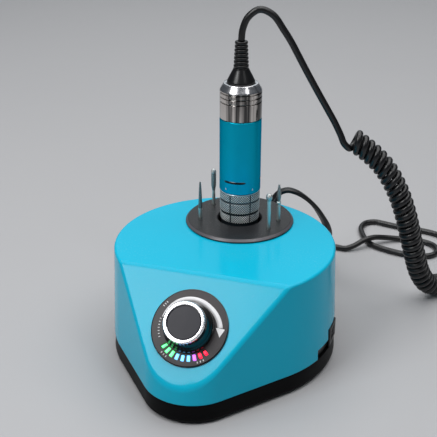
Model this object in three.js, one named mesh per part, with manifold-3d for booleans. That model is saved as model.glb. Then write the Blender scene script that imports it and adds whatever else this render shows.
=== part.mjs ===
// Electric nail drill: a rounded-triangle control box with a speed knob on its sloped front,
// a bit plate on top that parks the handpiece and four bits, a curly handpiece cord and a
// flat mains lead. Millimetres, +Z up, nose of the box towards -Y, standing on z = 0.
import * as THREE from 'three';
import { mergeVertices } from 'three/addons/utils/BufferGeometryUtils.js';
import Module from 'manifold-3d';

const wasm = await Module();
wasm.setup();

// ---------- driving dimensions ----------
const GAP = 0.3;                 // kept between pieces that touch
const FOOT_HEIGHT = 1.5;         // rubber feet below the base tray
const BASE_HEIGHT = 13;          // top of the black skirt above the table
const BOX_HEIGHT = 72;           // flat top of the blue shell
const BACK_RADIUS = 68;          // plan radius of the back of the box, at its top
const NOSE_RADIUS = 28;          // plan radius of the nose, at its top
const NOSE_DISTANCE = 61;        // between the centres of those two arcs
const DRAFT = 0.042;             // walls lean out by this much per mm down
const SHELL_WALL = 2.6;
const TOP_FILLET = 2.4;
const BASE_WALL = 2.4;
const HOLDER_INSET = 36;         // handpiece axis in front of the back of the box top
const CREASE_SETBACK = 17.3;     // facet crease behind the centre of the nose arc
const FACET_TILT = THREE.MathUtils.degToRad(45.5);

const DIAL_RADIUS = 22.6;
const DIAL_DOWN_SLOPE = 32.7;    // dial centre below the crease, along the facet
const DIAL_THICKNESS = 1.2;
const KNOB_SKIRT_RADIUS = 14;
const KNOB_RING_RADIUS = 11.8;
const KNOB_FACE_RADIUS = 9.7;
const KNOB_HEIGHT = 14.2;        // top of the knob above the facet
const KNOB_CLEARANCE = 0.5;      // under the knob skirt
const SHAFT_RADIUS = 3;
const LED_COUNT = 9;
const LED_INSET = 5.2;           // middle of the light bars inside the dial's rim
const LED_LENGTH = 3.6;
const LED_WIDTH = 1.9;

const PLATE_RADIUS = 34.8;
const PLATE_HEIGHT = 2.5;        // bit plate above the shell top
const PLATE_CHAMFER = 1.3;
const HANDPIECE_RADIUS = 13;
const PARK_CLEARANCE = 0.8;      // handpiece in its hole, all round
const WELL_WALL = 1.8;
const WELL_DEPTH = 42;           // below the shell top
const BIT_CIRCLE = 25.4;
const BIT_SHANK = 2.35;          // shank diameter of a manicure bit
const BIT_HOLE = 3.0;
const BIT_SINK = 13;             // bits reach this far below the shell top
const BIT_RISE = 28;             // and stand this far above it

// the parked handpiece, as heights above its lower end
const CONE_LENGTH = 25;
const COLLAR_END = 53.5;
const BARREL_END = 101;
const CAP_END = 123.2;
const BOOT_END = 148.6;
const PARK_DEPTH = 31;           // lower end of the handpiece below the shell top
const CORD_DIAMETER = 4.2;
const CURL_DIAMETER = 13.5;
const LEAD_WIDTH = 6;
const LEAD_THICKNESS = 3;

// ---------- worked-out places ----------
const FLOOR_GROWTH = DRAFT * BOX_HEIGHT;
const noseReach = NOSE_DISTANCE + NOSE_RADIUS + FLOOR_GROWTH;
const backReach = BACK_RADIUS + FLOOR_GROWTH;
const BACK_Y = (noseReach - backReach) / 2;      // centre of the back arc
const NOSE_Y = BACK_Y - NOSE_DISTANCE;           // centre of the nose arc
const AXIS_Y = BACK_Y + BACK_RADIUS - HOLDER_INSET;   // handpiece axis
const CREASE_Y = NOSE_Y + CREASE_SETBACK;
const PLATE_TOP = BOX_HEIGHT + PLATE_HEIGHT;
const BASE_BOTTOM = FOOT_HEIGHT;
const SHELL_BOTTOM = BASE_HEIGHT + GAP;
const WELL_RADIUS = HANDPIECE_RADIUS + PARK_CLEARANCE;
const WELL_FLOOR = BOX_HEIGHT - WELL_DEPTH;
const BIT_BOTTOM = BOX_HEIGHT - BIT_SINK;
const BIT_TOP = BOX_HEIGHT + BIT_RISE;
const NOSE_TIP = BOX_HEIGHT - PARK_DEPTH;
const CONE_TOP = NOSE_TIP + CONE_LENGTH;
const COLLAR_TOP = NOSE_TIP + COLLAR_END;
const BARREL_TOP = NOSE_TIP + BARREL_END;
const CAP_TOP = NOSE_TIP + CAP_END;
const BOOT_TOP = NOSE_TIP + BOOT_END;
const LED_RADIUS = DIAL_RADIUS - LED_INSET;

// ---------- solids ----------
function toSolid(geometry) {
  const bare = geometry.clone();
  bare.deleteAttribute('normal');
  bare.deleteAttribute('uv');
  const merged = mergeVertices(bare, 1e-4);
  return new wasm.Manifold(new wasm.Mesh({
    numProp: 3,
    vertProperties: new Float32Array(merged.attributes.position.array),
    triVerts: new Uint32Array(merged.index.array),
  }));
}

function toGeometry(solid) {
  const mesh = solid.getMesh();
  const geometry = new THREE.BufferGeometry();
  geometry.setAttribute('position', new THREE.Float32BufferAttribute(mesh.vertProperties, 3));
  geometry.setIndex(Array.from(mesh.triVerts));
  geometry.computeVertexNormals();
  return geometry;
}

function cut(geometry, ...tools) {
  let solid = toSolid(geometry);
  for (const tool of tools) solid = solid.subtract(toSolid(tool));
  return toGeometry(solid);
}

function join(geometry, ...others) {
  let solid = toSolid(geometry);
  for (const other of others) solid = solid.add(toSolid(other));
  return toGeometry(solid);
}

// a turned piece about Z from [radius, z] pairs; a closed loop when it has a bore
function turned(profile, segments = 24) {
  const points = profile.map(([r, z]) => new THREE.Vector2(r, z));
  const bored = profile[0][0] > 0;
  if (bored) points.push(points[0].clone());
  const geometry = new THREE.LatheGeometry(points, segments);
  return geometry.rotateX(Math.PI / 2);
}

function cylinder(radius, z0, z1, segments = 20, x = 0, y = 0) {
  const geometry = new THREE.CylinderGeometry(radius, radius, z1 - z0, segments);
  return geometry.rotateX(Math.PI / 2).translate(x, y, (z0 + z1) / 2);
}

function ring(inner, outer, z0, z1, segments = 20) {
  return turned([[inner, z0], [outer, z0], [outer, z1], [inner, z1]], segments);
}

function box(x0, x1, y0, y1, z0, z1) {
  return new THREE.BoxGeometry(x1 - x0, y1 - y0, z1 - z0)
    .translate((x0 + x1) / 2, (y0 + y1) / 2, (z0 + z1) / 2);
}

// the plan of the box: the outline round the back arc and the nose arc, grown by some mm
function planPoints(grow, arcSteps = 20) {
  const big = BACK_RADIUS + grow;
  const small = NOSE_RADIUS + grow;
  const tangent = Math.asin((BACK_RADIUS - NOSE_RADIUS) / NOSE_DISTANCE);
  const points = [];
  for (let i = 0; i <= 2 * arcSteps; i += 1) {
    const a = -tangent + (Math.PI + 2 * tangent) * i / (2 * arcSteps);
    points.push(new THREE.Vector2(big * Math.cos(a), BACK_Y + big * Math.sin(a)));
  }
  for (let i = 0; i <= arcSteps; i += 1) {
    const a = Math.PI + tangent + (Math.PI - 2 * tangent) * i / arcSteps;
    points.push(new THREE.Vector2(small * Math.cos(a), NOSE_Y + small * Math.sin(a)));
  }
  return points;
}

// a solid through plan outlines, given as [growth, z] levels from the bottom up
function planLoft(levels) {
  const rings = levels.map(([grow]) => planPoints(grow));
  const count = rings[0].length;
  const positions = [];
  levels.forEach(([, z], i) => rings[i].forEach((p) => positions.push(p.x, p.y, z)));
  positions.push(0, BACK_Y, levels[0][1], 0, BACK_Y, levels.at(-1)[1]);
  const bottomCentre = levels.length * count;
  const topCentre = bottomCentre + 1;
  const lastRing = (levels.length - 1) * count;
  const index = [];
  for (let j = 0; j < count; j += 1) {
    const next = (j + 1) % count;
    for (let i = 0; i < levels.length - 1; i += 1) {
      const low = i * count;
      const high = low + count;
      index.push(low + j, low + next, high + next, low + j, high + next, high + j);
    }
    index.push(bottomCentre, next, j);
    index.push(topCentre, lastRing + j, lastRing + next);
  }
  const geometry = new THREE.BufferGeometry();
  geometry.setAttribute('position', new THREE.Float32BufferAttribute(positions, 3));
  geometry.setIndex(index);
  geometry.computeVertexNormals();
  return geometry;
}

const growthAt = (z) => DRAFT * (BOX_HEIGHT - z);

// everything in front of the sloped facet, sunk by some mm below it
function beyondFacet(sink) {
  const size = 200;
  const block = new THREE.BoxGeometry(size, size, size).translate(0, 0, size / 2 - sink);
  return block.applyMatrix4(facetMatrix(0));
}

// frame on the facet: x across, y up the slope, z out of it; origin at the crease or the dial
function facetMatrix(downSlope) {
  const across = new THREE.Vector3(1, 0, 0);
  const outward = new THREE.Vector3(0, -Math.sin(FACET_TILT), Math.cos(FACET_TILT));
  const upSlope = outward.clone().cross(across);
  const origin = new THREE.Vector3(0, CREASE_Y, BOX_HEIGHT).addScaledVector(upSlope, -downSlope);
  return new THREE.Matrix4().makeBasis(across, upSlope, outward).setPosition(origin);
}

// a curved block of the back wall between two angles, in degrees round the back arc's centre
function backSector(r0, r1, fromDeg, toDeg, z0, z1, steps = 12) {
  const a0 = THREE.MathUtils.degToRad(fromDeg);
  const a1 = THREE.MathUtils.degToRad(toDeg);
  const shape = new THREE.Shape();
  shape.absarc(0, 0, r1, a0, a1, false);
  shape.absarc(0, 0, r0, a1, a0, true);
  const geometry = new THREE.ExtrudeGeometry(shape, {
    depth: z1 - z0, bevelEnabled: false, curveSegments: steps,
  });
  return geometry.translate(0, BACK_Y, z0);
}

// ---------- scene graph helpers ----------
const nailDrill = new THREE.Group();

function add(name, geometry, material, parent = nailDrill) {
  const mesh = new THREE.Mesh(geometry, material);
  mesh.name = name;
  parent.add(mesh);
  return mesh;
}

function look(color, roughness, metalness = 0) {
  return new THREE.MeshStandardMaterial({ color, roughness, metalness });
}

const blueGloss = look(0x3fc4e2, 0.12);
const blackPlastic = look(0x0b0b0d, 0.4);
const satinBlack = look(0x1b1b1e, 0.45);
const rubber = look(0x151517, 0.8);
const dialGrey = look(0x55545a, 0.45);
const chrome = look(0xe8e8ea, 0.08, 1);
const steel = look(0xb9bcc0, 0.3, 1);
const anodisedBlue = look(0x1291b3, 0.3, 0.9);
const boardGreen = look(0x1c5a33, 0.6);
const copper = look(0xb0713d, 0.4, 1);
const cordBlack = look(0x101012, 0.5);

// ---------- box: shell, base tray, feet, screws ----------
const CUT_LOW = { from: -20, to: 200, top: 20 };     // stepped cut-out round the back
const CUT_HIGH = { from: -8.5, to: 188.5, top: 27 };
const SOCKET_Z = 20;
const SOCKET_RADIUS = 5.2;
const JACK_RADIUS = 4.8;
const HANDPIECE_SOCKET_DEG = 75;
const PEDAL_SOCKET_DEG = 90;
const SWITCH_DEG = -0.5;
const GLAND = {
  foot: new THREE.Vector3(5, AXIS_Y + 34.2, BOX_HEIGHT - 28),
  tip: new THREE.Vector3(8, AXIS_Y + 48, BOX_HEIGHT - 11),
  rootRadius: 4.8,
  tipRadius: 3.6,
};

function atBack(deg, radius, z) {
  const a = THREE.MathUtils.degToRad(deg);
  return new THREE.Vector3(radius * Math.cos(a), BACK_Y + radius * Math.sin(a), z);
}

// turns a piece made along +Z so that it points out of the back wall at an angle
function outOfBack(geometry, deg, radius, z) {
  const place = atBack(deg, radius, z);
  return geometry.rotateY(Math.PI / 2).rotateZ(THREE.MathUtils.degToRad(deg))
    .translate(place.x, place.y, place.z);
}

// turns a piece made along +Z so that it points from one point towards another
function alongLine(geometry, from, to) {
  const turn = new THREE.Quaternion().setFromUnitVectors(
    new THREE.Vector3(0, 0, 1), to.clone().sub(from).normalize());
  return geometry.applyQuaternion(turn).translate(from.x, from.y, from.z);
}

function shellBody() {
  const outerLevels = [[growthAt(SHELL_BOTTOM), SHELL_BOTTOM], [growthAt(40), 40]];
  const filletSteps = 3;
  for (let i = 0; i <= filletSteps; i += 1) {
    const a = (Math.PI / 2) * i / filletSteps;
    const z = BOX_HEIGHT - TOP_FILLET * (1 - Math.sin(a));
    outerLevels.push([growthAt(z) - TOP_FILLET * (1 - Math.cos(a)), z]);
  }
  const inside = BOX_HEIGHT - SHELL_WALL;
  const innerLevels = [
    [growthAt(0) - SHELL_WALL, SHELL_BOTTOM - 5],
    [growthAt(inside) - SHELL_WALL, inside],
  ];
  const outer = toSolid(planLoft(outerLevels)).subtract(toSolid(beyondFacet(0)));
  const inner = toSolid(planLoft(innerLevels)).subtract(toSolid(beyondFacet(SHELL_WALL)));
  return outer.subtract(inner);
}

function upperShell() {
  const reach = BACK_RADIUS + 12;
  const holes = [
    backSector(BACK_RADIUS - 12, reach, CUT_LOW.from, CUT_LOW.to, 0, CUT_LOW.top),
    backSector(BACK_RADIUS - 12, reach, CUT_HIGH.from, CUT_HIGH.to, 0, CUT_HIGH.top),
    cylinder(WELL_RADIUS + WELL_WALL + GAP, BOX_HEIGHT - 10, BOX_HEIGHT + 10, 32, 0, AXIS_Y),
    cylinder(SHAFT_RADIUS + 1.4, -10, 10, 16).applyMatrix4(facetMatrix(DIAL_DOWN_SLOPE)),
    alongLine(cylinder(GLAND.rootRadius + GAP, -20, 20, 16), GLAND.foot, GLAND.tip),
  ];
  for (const deg of BIT_ANGLES) {
    const a = THREE.MathUtils.degToRad(deg);
    const [x, y] = [BIT_CIRCLE * Math.cos(a), AXIS_Y + BIT_CIRCLE * Math.sin(a)];
    holes.push(cylinder(BIT_SOCKET_RADIUS + GAP, BOX_HEIGHT - 10, BOX_HEIGHT + 10, 12, x, y));
  }
  for (let i = 0; i < LED_COUNT; i += 1) holes.push(ledBlock(i, GAP, -10, 10));
  let solid = shellBody();
  for (const hole of holes) solid = solid.subtract(toSolid(hole));
  return toGeometry(solid);
}

const BIT_ANGLES = [204, 149, -28, 4];
const BIT_SOCKET_RADIUS = BIT_HOLE / 2 + 1.4;
const SCREW_PLACES = [[0, NOSE_Y - 4], [-46, BACK_Y], [46, BACK_Y], [0, BACK_Y + 52]];
const FOOT_PLACES = [
  ['front_left', -17, NOSE_Y + 10], ['front_right', 17, NOSE_Y + 10],
  ['rear_left', -44, BACK_Y + 22], ['rear_right', 44, BACK_Y + 22],
];
const SCREW_RADIUS = 1.5;
const SCREW_HEAD_RADIUS = 3;

function baseTray() {
  const floorTop = BASE_BOTTOM + BASE_WALL;
  const outer = planLoft([
    [growthAt(BASE_BOTTOM) - 2.2, BASE_BOTTOM],
    [growthAt(BASE_BOTTOM) - 0.6, BASE_BOTTOM + 1.6],
    [growthAt(BASE_HEIGHT) - 0.4, BASE_HEIGHT],
  ]);
  const inner = planLoft([
    [growthAt(BASE_HEIGHT) - BASE_WALL - 0.6, floorTop],
    [growthAt(BASE_HEIGHT) - BASE_WALL - 0.6, BASE_HEIGHT + 5],
  ]);
  let solid = toSolid(outer).subtract(toSolid(inner));
  for (const [x, y] of SCREW_PLACES) {
    const boss = cylinder(SCREW_HEAD_RADIUS + 2.2, BASE_BOTTOM + 0.5, BASE_BOTTOM + 8, 14, x, y);
    solid = solid.add(toSolid(boss));
  }
  for (const [x, y] of SCREW_PLACES) {
    solid = solid.subtract(toSolid(cylinder(SCREW_RADIUS + GAP, 0, 40, 12, x, y)));
    const recess = cylinder(SCREW_HEAD_RADIUS + GAP, 0, BASE_BOTTOM + 4, 14, x, y);
    solid = solid.subtract(toSolid(recess));
  }
  for (const [, x, y] of FOOT_PLACES) {
    solid = solid.subtract(toSolid(cylinder(5 + GAP, 0, BASE_BOTTOM + 1, 18, x, y)));
  }
  return toGeometry(solid);
}

function addBox() {
  add('upper_shell', upperShell(), blueGloss);
  add('base_tray', baseTray(), blackPlastic);
  for (const [name, x, y] of FOOT_PLACES) {
    const foot = turned([
      [0, 0], [4.4, 0], [5, 0.6], [5, BASE_BOTTOM + 1 - GAP], [0, BASE_BOTTOM + 1 - GAP],
    ], 18).translate(x, y, 0);
    add(`foot_${name}`, foot, rubber);
  }
  SCREW_PLACES.forEach(([x, y], i) => {
    const seat = BASE_BOTTOM + 4 - GAP;
    const screw = turned([
      [0, seat - 2], [SCREW_HEAD_RADIUS, seat - 2], [SCREW_HEAD_RADIUS, seat],
      [SCREW_RADIUS, seat], [SCREW_RADIUS, seat + 9], [0, seat + 10],
    ], 12).translate(x, y, 0);
    add(`case_screw_${['front', 'left', 'right', 'rear'][i]}`, screw, steel);
  });
}

// ---------- rear panel, sockets and direction switch ----------
const PANEL_OUTER = BACK_RADIUS + 0.2;
const PANEL_INNER = PANEL_OUTER - 2.2;
const SWITCH_WIDTH = 14;
const SWITCH_HEIGHT = 10;
const PLUG_RADIUS = 5.6;

function socketBody(outer, flange, bore) {
  const depth = 12;
  return turned([
    [bore, -depth], [outer, -depth], [outer, GAP], [flange, GAP], [flange, 2.4], [bore, 2.4],
  ], 20);
}

function addRear() {
  const z0 = BASE_HEIGHT + GAP;
  const wall = backSector(PANEL_INNER, PANEL_OUTER, CUT_LOW.from + 0.4, CUT_LOW.to - 0.4,
    z0, CUT_HIGH.top - GAP, 24);
  const stepZ = CUT_LOW.top - GAP;
  const reach = PANEL_OUTER + 10;
  const holes = [
    backSector(PANEL_INNER - 10, reach, CUT_LOW.from - 5, CUT_HIGH.from + 0.4, stepZ, 50, 3),
    backSector(PANEL_INNER - 10, reach, CUT_HIGH.to - 0.4, CUT_LOW.to + 5, stepZ, 50, 3),
    outOfBack(cylinder(SOCKET_RADIUS + GAP, -20, 20, 20), HANDPIECE_SOCKET_DEG, PANEL_OUTER,
      SOCKET_Z),
    outOfBack(cylinder(JACK_RADIUS + GAP, -20, 20, 20), PEDAL_SOCKET_DEG, PANEL_OUTER, SOCKET_Z),
    outOfBack(switchBlock(SWITCH_WIDTH + 2 * GAP, SWITCH_HEIGHT + 2 * GAP, -20, 20),
      SWITCH_DEG, PANEL_OUTER, SOCKET_Z),
  ];
  add('rear_panel', cut(wall, ...holes), blackPlastic);

  const handpieceSocket = socketBody(SOCKET_RADIUS, SOCKET_RADIUS + 1, 3.4);
  add('handpiece_socket', outOfBack(handpieceSocket, HANDPIECE_SOCKET_DEG, PANEL_OUTER, SOCKET_Z),
    satinBlack);
  const pedalSocket = socketBody(JACK_RADIUS, JACK_RADIUS + 1, 3.2);
  add('pedal_socket', outOfBack(pedalSocket, PEDAL_SOCKET_DEG, PANEL_OUTER, SOCKET_Z), steel);

  const housing = cut(
    join(switchBlock(SWITCH_WIDTH, SWITCH_HEIGHT, -11, 1),
      switchBlock(SWITCH_WIDTH + 2, SWITCH_HEIGHT + 2, 0.7, 2.2)),
    switchBlock(SWITCH_WIDTH - 2.4, SWITCH_HEIGHT - 2.4, -6, 5));
  add('switch_housing', outOfBack(housing, SWITCH_DEG, PANEL_OUTER, SOCKET_Z), blackPlastic);
  add('direction_rocker', outOfBack(rockerKey(), SWITCH_DEG, PANEL_OUTER, SOCKET_Z), satinBlack);
}

// a block along +Z whose width will lie along the wall and height along world Z
function switchBlock(width, height, z0, z1) {
  return box(-height / 2, height / 2, -width / 2, width / 2, z0, z1);
}

// a rocker with two faces that meet in a shallow valley at its pivot line
function rockerKey() {
  const half = (SWITCH_WIDTH - 2.4) / 2 - 0.5;
  const thick = (SWITCH_HEIGHT - 2.4) / 2 - 0.4;
  const shape = new THREE.Shape();
  shape.moveTo(-half, 0.2);
  shape.lineTo(-half * 0.3, -3.4);
  shape.lineTo(half * 0.3, -3.4);
  shape.lineTo(half, 0.2);
  shape.lineTo(half, 2.2);
  shape.lineTo(0, 1.2);
  shape.lineTo(-half, 2.2);
  shape.closePath();
  const geometry = new THREE.ExtrudeGeometry(shape, { depth: 2 * thick, bevelEnabled: false });
  return geometry.translate(0, 0, -thick).rotateX(Math.PI / 2).rotateZ(Math.PI / 2);
}

// ---------- dial, light bars, knob, control board ----------
const LED_FIRST = THREE.MathUtils.degToRad(225.6);
const LED_LAST = THREE.MathUtils.degToRad(314.5);
const LED_COLOURS = [
  0x3df07a, 0x3df07a, 0x52f2a0, 0x9adcf5, 0xa9d0ff, 0xb8c8ff, 0xd27be6, 0xe83a5a, 0xe6263a,
];

// one block on the arc of light bars, grown all round, between two heights on the facet
function ledBlock(i, grow, z0, z1) {
  const a = LED_FIRST + (LED_LAST - LED_FIRST) * i / (LED_COUNT - 1);
  const block = box(LED_RADIUS - LED_LENGTH / 2 - grow, LED_RADIUS + LED_LENGTH / 2 + grow,
    -LED_WIDTH / 2 - grow, LED_WIDTH / 2 + grow, z0, z1);
  return block.rotateZ(a).applyMatrix4(facetMatrix(DIAL_DOWN_SLOPE));
}

function addDial() {
  const onFacet = facetMatrix(DIAL_DOWN_SLOPE);
  const plate = turned([
    [SHAFT_RADIUS + 1.4, GAP], [DIAL_RADIUS, GAP], [DIAL_RADIUS, DIAL_THICKNESS - 0.3],
    [DIAL_RADIUS - 0.5, DIAL_THICKNESS], [SHAFT_RADIUS + 1.4, DIAL_THICKNESS],
  ], 36).applyMatrix4(onFacet);
  const windows = [];
  for (let i = 0; i < LED_COUNT; i += 1) windows.push(ledBlock(i, GAP / 2, -10, 10));
  add('dial_plate', cut(plate, ...windows), dialGrey);
  for (let i = 0; i < LED_COUNT; i += 1) {
    const bar = ledBlock(i, 0, -SHELL_WALL - 0.6, DIAL_THICKNESS - 0.1);
    add(`led_bar_${i + 1}`, bar, look(LED_COLOURS[i], 0.3));
  }

  const boardTop = -SHELL_WALL - 0.6 - GAP;
  const board = cut(box(-21, 21, -20, 17, boardTop - 1.6, boardTop),
    cylinder(SHAFT_RADIUS + 1, -20, 0, 24));
  add('control_board', board.applyMatrix4(onFacet), boardGreen);
  const potTop = boardTop - 1.6 - GAP;
  const pot = turned([
    [SHAFT_RADIUS + GAP, potTop - 8], [8, potTop - 8], [8, potTop], [SHAFT_RADIUS + GAP, potTop],
  ], 28);
  add('potentiometer', pot.applyMatrix4(onFacet), steel);
}

const knobGroup = new THREE.Group();

function addKnob() {
  knobGroup.applyMatrix4(facetMatrix(DIAL_DOWN_SLOPE));
  nailDrill.add(knobGroup);
  const foot = DIAL_THICKNESS + KNOB_CLEARANCE;
  const shoulder = KNOB_HEIGHT - 1.8;
  const bore = SHAFT_RADIUS + GAP;
  const body = turned([
    [bore, foot], [KNOB_SKIRT_RADIUS, foot], [KNOB_SKIRT_RADIUS, foot + 1.6],
    [KNOB_SKIRT_RADIUS - 1, foot + 4], [KNOB_RING_RADIUS - 0.4, shoulder - GAP],
    [bore, shoulder - GAP],
  ], 30);
  add('knob_body', body, blackPlastic, knobGroup);
  const metalRing = turned([
    [KNOB_FACE_RADIUS + GAP, shoulder], [KNOB_RING_RADIUS, shoulder],
    [KNOB_RING_RADIUS, KNOB_HEIGHT - 0.6], [KNOB_RING_RADIUS - 0.6, KNOB_HEIGHT],
    [KNOB_FACE_RADIUS + GAP, KNOB_HEIGHT],
  ], 30);
  add('knob_ring', metalRing, chrome, knobGroup);
  add('knob_face', cylinder(KNOB_FACE_RADIUS, shoulder, KNOB_HEIGHT - 0.3, 30), satinBlack,
    knobGroup);
  const shaftFoot = -SHELL_WALL - 10;
  add('knob_shaft', cylinder(SHAFT_RADIUS, shaftFoot, shoulder - 2 * GAP, 16), steel, knobGroup);
}

// ---------- power board and transformer inside ----------
function addPower() {
  const seat = BASE_BOTTOM + BASE_WALL + GAP;
  const postHeight = 4;
  const board = box(-34, 34, BACK_Y - 42, BACK_Y - 6, seat + postHeight, seat + postHeight + 1.6);
  const posts = [];
  for (const x of [-31, 31]) {
    for (const y of [BACK_Y - 39, BACK_Y - 9]) {
      posts.push(cylinder(2.2, seat, seat + postHeight + 0.5, 16, x, y));
    }
  }
  add('power_board', join(board, ...posts), boardGreen);
  const boardTop = seat + postHeight + 1.6 + GAP;
  const core = box(-14, 14, BACK_Y - 38, BACK_Y - 12, boardTop, boardTop + 20);
  const winding = box(-10, 10, BACK_Y - 40, BACK_Y - 10, boardTop + 3, boardTop + 17);
  add('transformer', join(core, winding), copper);
}

// ---------- bit plate, well and bits ----------
function bitPlace(deg) {
  const a = THREE.MathUtils.degToRad(deg);
  return [BIT_CIRCLE * Math.cos(a), AXIS_Y + BIT_CIRCLE * Math.sin(a)];
}

function addHolder() {
  const under = BOX_HEIGHT + GAP;
  let plate = turned([
    [WELL_RADIUS, under], [PLATE_RADIUS - 0.4, under], [PLATE_RADIUS, under + 0.4],
    [PLATE_RADIUS, PLATE_TOP - PLATE_CHAMFER], [PLATE_RADIUS - PLATE_CHAMFER, PLATE_TOP],
    [WELL_RADIUS + 0.5, PLATE_TOP], [WELL_RADIUS, PLATE_TOP - 0.5],
  ], 40).translate(0, AXIS_Y, 0);
  for (const deg of BIT_ANGLES) {
    const [x, y] = bitPlace(deg);
    plate = join(plate, cylinder(BIT_SOCKET_RADIUS, BIT_BOTTOM - 2, under + 1, 12, x, y));
  }
  for (const deg of BIT_ANGLES) {
    const [x, y] = bitPlace(deg);
    plate = cut(plate, cylinder(BIT_HOLE / 2, BIT_BOTTOM - GAP, PLATE_TOP + 5, 12, x, y));
  }
  add('bit_plate', plate, satinBlack);

  const ledge = CONE_TOP - GAP;
  const wall = WELL_RADIUS + WELL_WALL;
  const well = turned([
    [0, WELL_FLOOR - 2], [wall, WELL_FLOOR - 2], [wall, under - GAP],
    [WELL_RADIUS, under - GAP], [WELL_RADIUS, ledge], [WELL_RADIUS - 3.4, ledge],
    [WELL_RADIUS - 3.4, ledge - 3], [WELL_RADIUS - 1, ledge - 6], [WELL_RADIUS - 1, WELL_FLOOR],
    [0, WELL_FLOOR],
  ], 24).translate(0, AXIS_Y, 0);
  add('holder_well', well, satinBlack);
}

// working ends of the four bits, from the shank up: [radius, height from the bits' top line]
const BIT_HEADS = {
  bit_needle: [[1.18, -19], [1.3, -17], [1.05, -10], [0.35, 0], [0, 0.3]],
  bit_barrel: [[0.9, -14], [1.9, -12], [1.9, -2.4], [1.3, -0.4], [0, 0.4]],
  bit_ball: [[0.95, -6.6], [1.6, -5.6], [2.05, -4], [1.6, -2.3], [0.8, -1.5], [0, -1.3]],
  bit_flame: [[1.18, -14], [1.5, -13.4], [1.5, -12.6], [1, -12], [1.5, -8.5], [0.4, 0], [0, 0.3]],
};

function addBits() {
  Object.entries(BIT_HEADS).forEach(([name, outline], i) => {
    const shank = BIT_SHANK / 2;
    const [x, y] = bitPlace(BIT_ANGLES[i]);
    const head = outline.map(([r, z]) => [r, BIT_TOP + z]);
    const profile = [[0, BIT_BOTTOM], [shank, BIT_BOTTOM + 0.4], [shank, head[0][1] - 1], ...head];
    add(name, turned(profile, 12).translate(x, y, 0), steel);
  });
}

// ---------- handpiece ----------
const handpieceGroup = new THREE.Group();
handpieceGroup.position.set(0, AXIS_Y, 0);
nailDrill.add(handpieceGroup);

function addHandpiece() {
  const r = HANDPIECE_RADIUS;
  const barrelBore = r - 1.5;
  const canRadius = barrelBore - GAP;
  const collarBore = r - 3.4;
  const coneRadius = collarBore - 0.4;
  const put = (name, geometry, material) => add(name, geometry, material, handpieceGroup);

  put('nose_cone', turned([
    [3.4, NOSE_TIP + 4], [4.6, NOSE_TIP + 4], [5, NOSE_TIP + 9], [coneRadius - 0.4, CONE_TOP - 7],
    [coneRadius, CONE_TOP - GAP], [coneRadius, COLLAR_TOP + 3], [7, COLLAR_TOP + 3], [7, CONE_TOP],
    [4, NOSE_TIP + 12], [3.4, NOSE_TIP + 12],
  ]), steel);
  put('twist_collar', turned([
    [collarBore, CONE_TOP], [r - 0.9, CONE_TOP], [r - 0.6, CONE_TOP + 9.8],
    [r - 1.5, CONE_TOP + 10.3], [r - 0.3, CONE_TOP + 11.2], [r - 0.2, COLLAR_TOP - 1],
    [r - 0.7, COLLAR_TOP], [collarBore, COLLAR_TOP],
  ]), steel);
  put('handpiece_barrel', turned([
    [collarBore + 0.2, COLLAR_TOP + GAP], [r - 0.2, COLLAR_TOP + GAP], [r, COLLAR_TOP + 1],
    [r, BARREL_TOP], [barrelBore, BARREL_TOP], [barrelBore, COLLAR_TOP + 3 + GAP],
    [collarBore + 0.2, COLLAR_TOP + 3 + GAP],
  ]), anodisedBlue);
  const capFoot = BARREL_TOP + GAP;
  put('end_cap', turned([
    [4.4, CAP_TOP - 3], [8, CAP_TOP - 3], [8, capFoot], [r, capFoot], [r, CAP_TOP - 6.3],
    [r - 1.1, CAP_TOP - 1], [r - 1.5, CAP_TOP], [4.4, CAP_TOP],
  ]), chrome);
  const canFoot = COLLAR_TOP + 3 + 2 * GAP;
  put('motor_can', turned([
    [canRadius - 1.2, canFoot], [canRadius, canFoot], [canRadius, BARREL_TOP - 1],
    [canRadius - 1.2, BARREL_TOP - 1],
  ], 28), steel);
  const bearingOuter = 7 - GAP;
  put('front_bearing', ring(3.3, bearingOuter, CONE_TOP + 4, CONE_TOP + 10, 20), steel);
  put('rear_bearing', ring(2.3, canRadius - 1.2 - GAP, BARREL_TOP - 6, BARREL_TOP - 2, 20), steel);
  put('rotor', turned([
    [0, CONE_TOP + 16], [2, CONE_TOP + 16], [2, canFoot + 6], [7.6, canFoot + 6],
    [7.6, BARREL_TOP - 10], [2, BARREL_TOP - 10], [2, BARREL_TOP - 1], [0, BARREL_TOP - 1],
  ], 20), copper);
  put('collet', turned([
    [0, NOSE_TIP + 14], [1.3, NOSE_TIP + 14], [1.3, NOSE_TIP], [2.2, NOSE_TIP],
    [3, NOSE_TIP + 3], [3, CONE_TOP + 16 - GAP], [0, CONE_TOP + 16 - GAP],
  ], 20), steel);
  put('cord_boot', turned(bootProfile(), 14), rubber);
}

// smooth cone, then a ribbed taper that narrows to the cord
function bootProfile() {
  const bore = CORD_DIAMETER / 2 + GAP;
  const foot = CAP_TOP + GAP;
  const coneTop = foot + 8.6;
  const ribs = 7;
  const pitch = (BOOT_TOP - coneTop) / ribs;
  const profile = [[bore, foot], [8.6, foot], [8.8, foot + 0.8], [4.7, coneTop]];
  for (let i = 0; i < ribs; i += 1) {
    const z = coneTop + i * pitch;
    const rim = 4.5 - 0.75 * i / (ribs - 1);
    profile.push([rim - 0.9, z + 0.3], [rim, z + 0.8], [rim, z + pitch - 0.5]);
  }
  profile.push([bore, BOOT_TOP]);
  return profile;
}

// ---------- cords ----------
const v3 = (x, y, z) => new THREE.Vector3(x, y, z);

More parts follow.
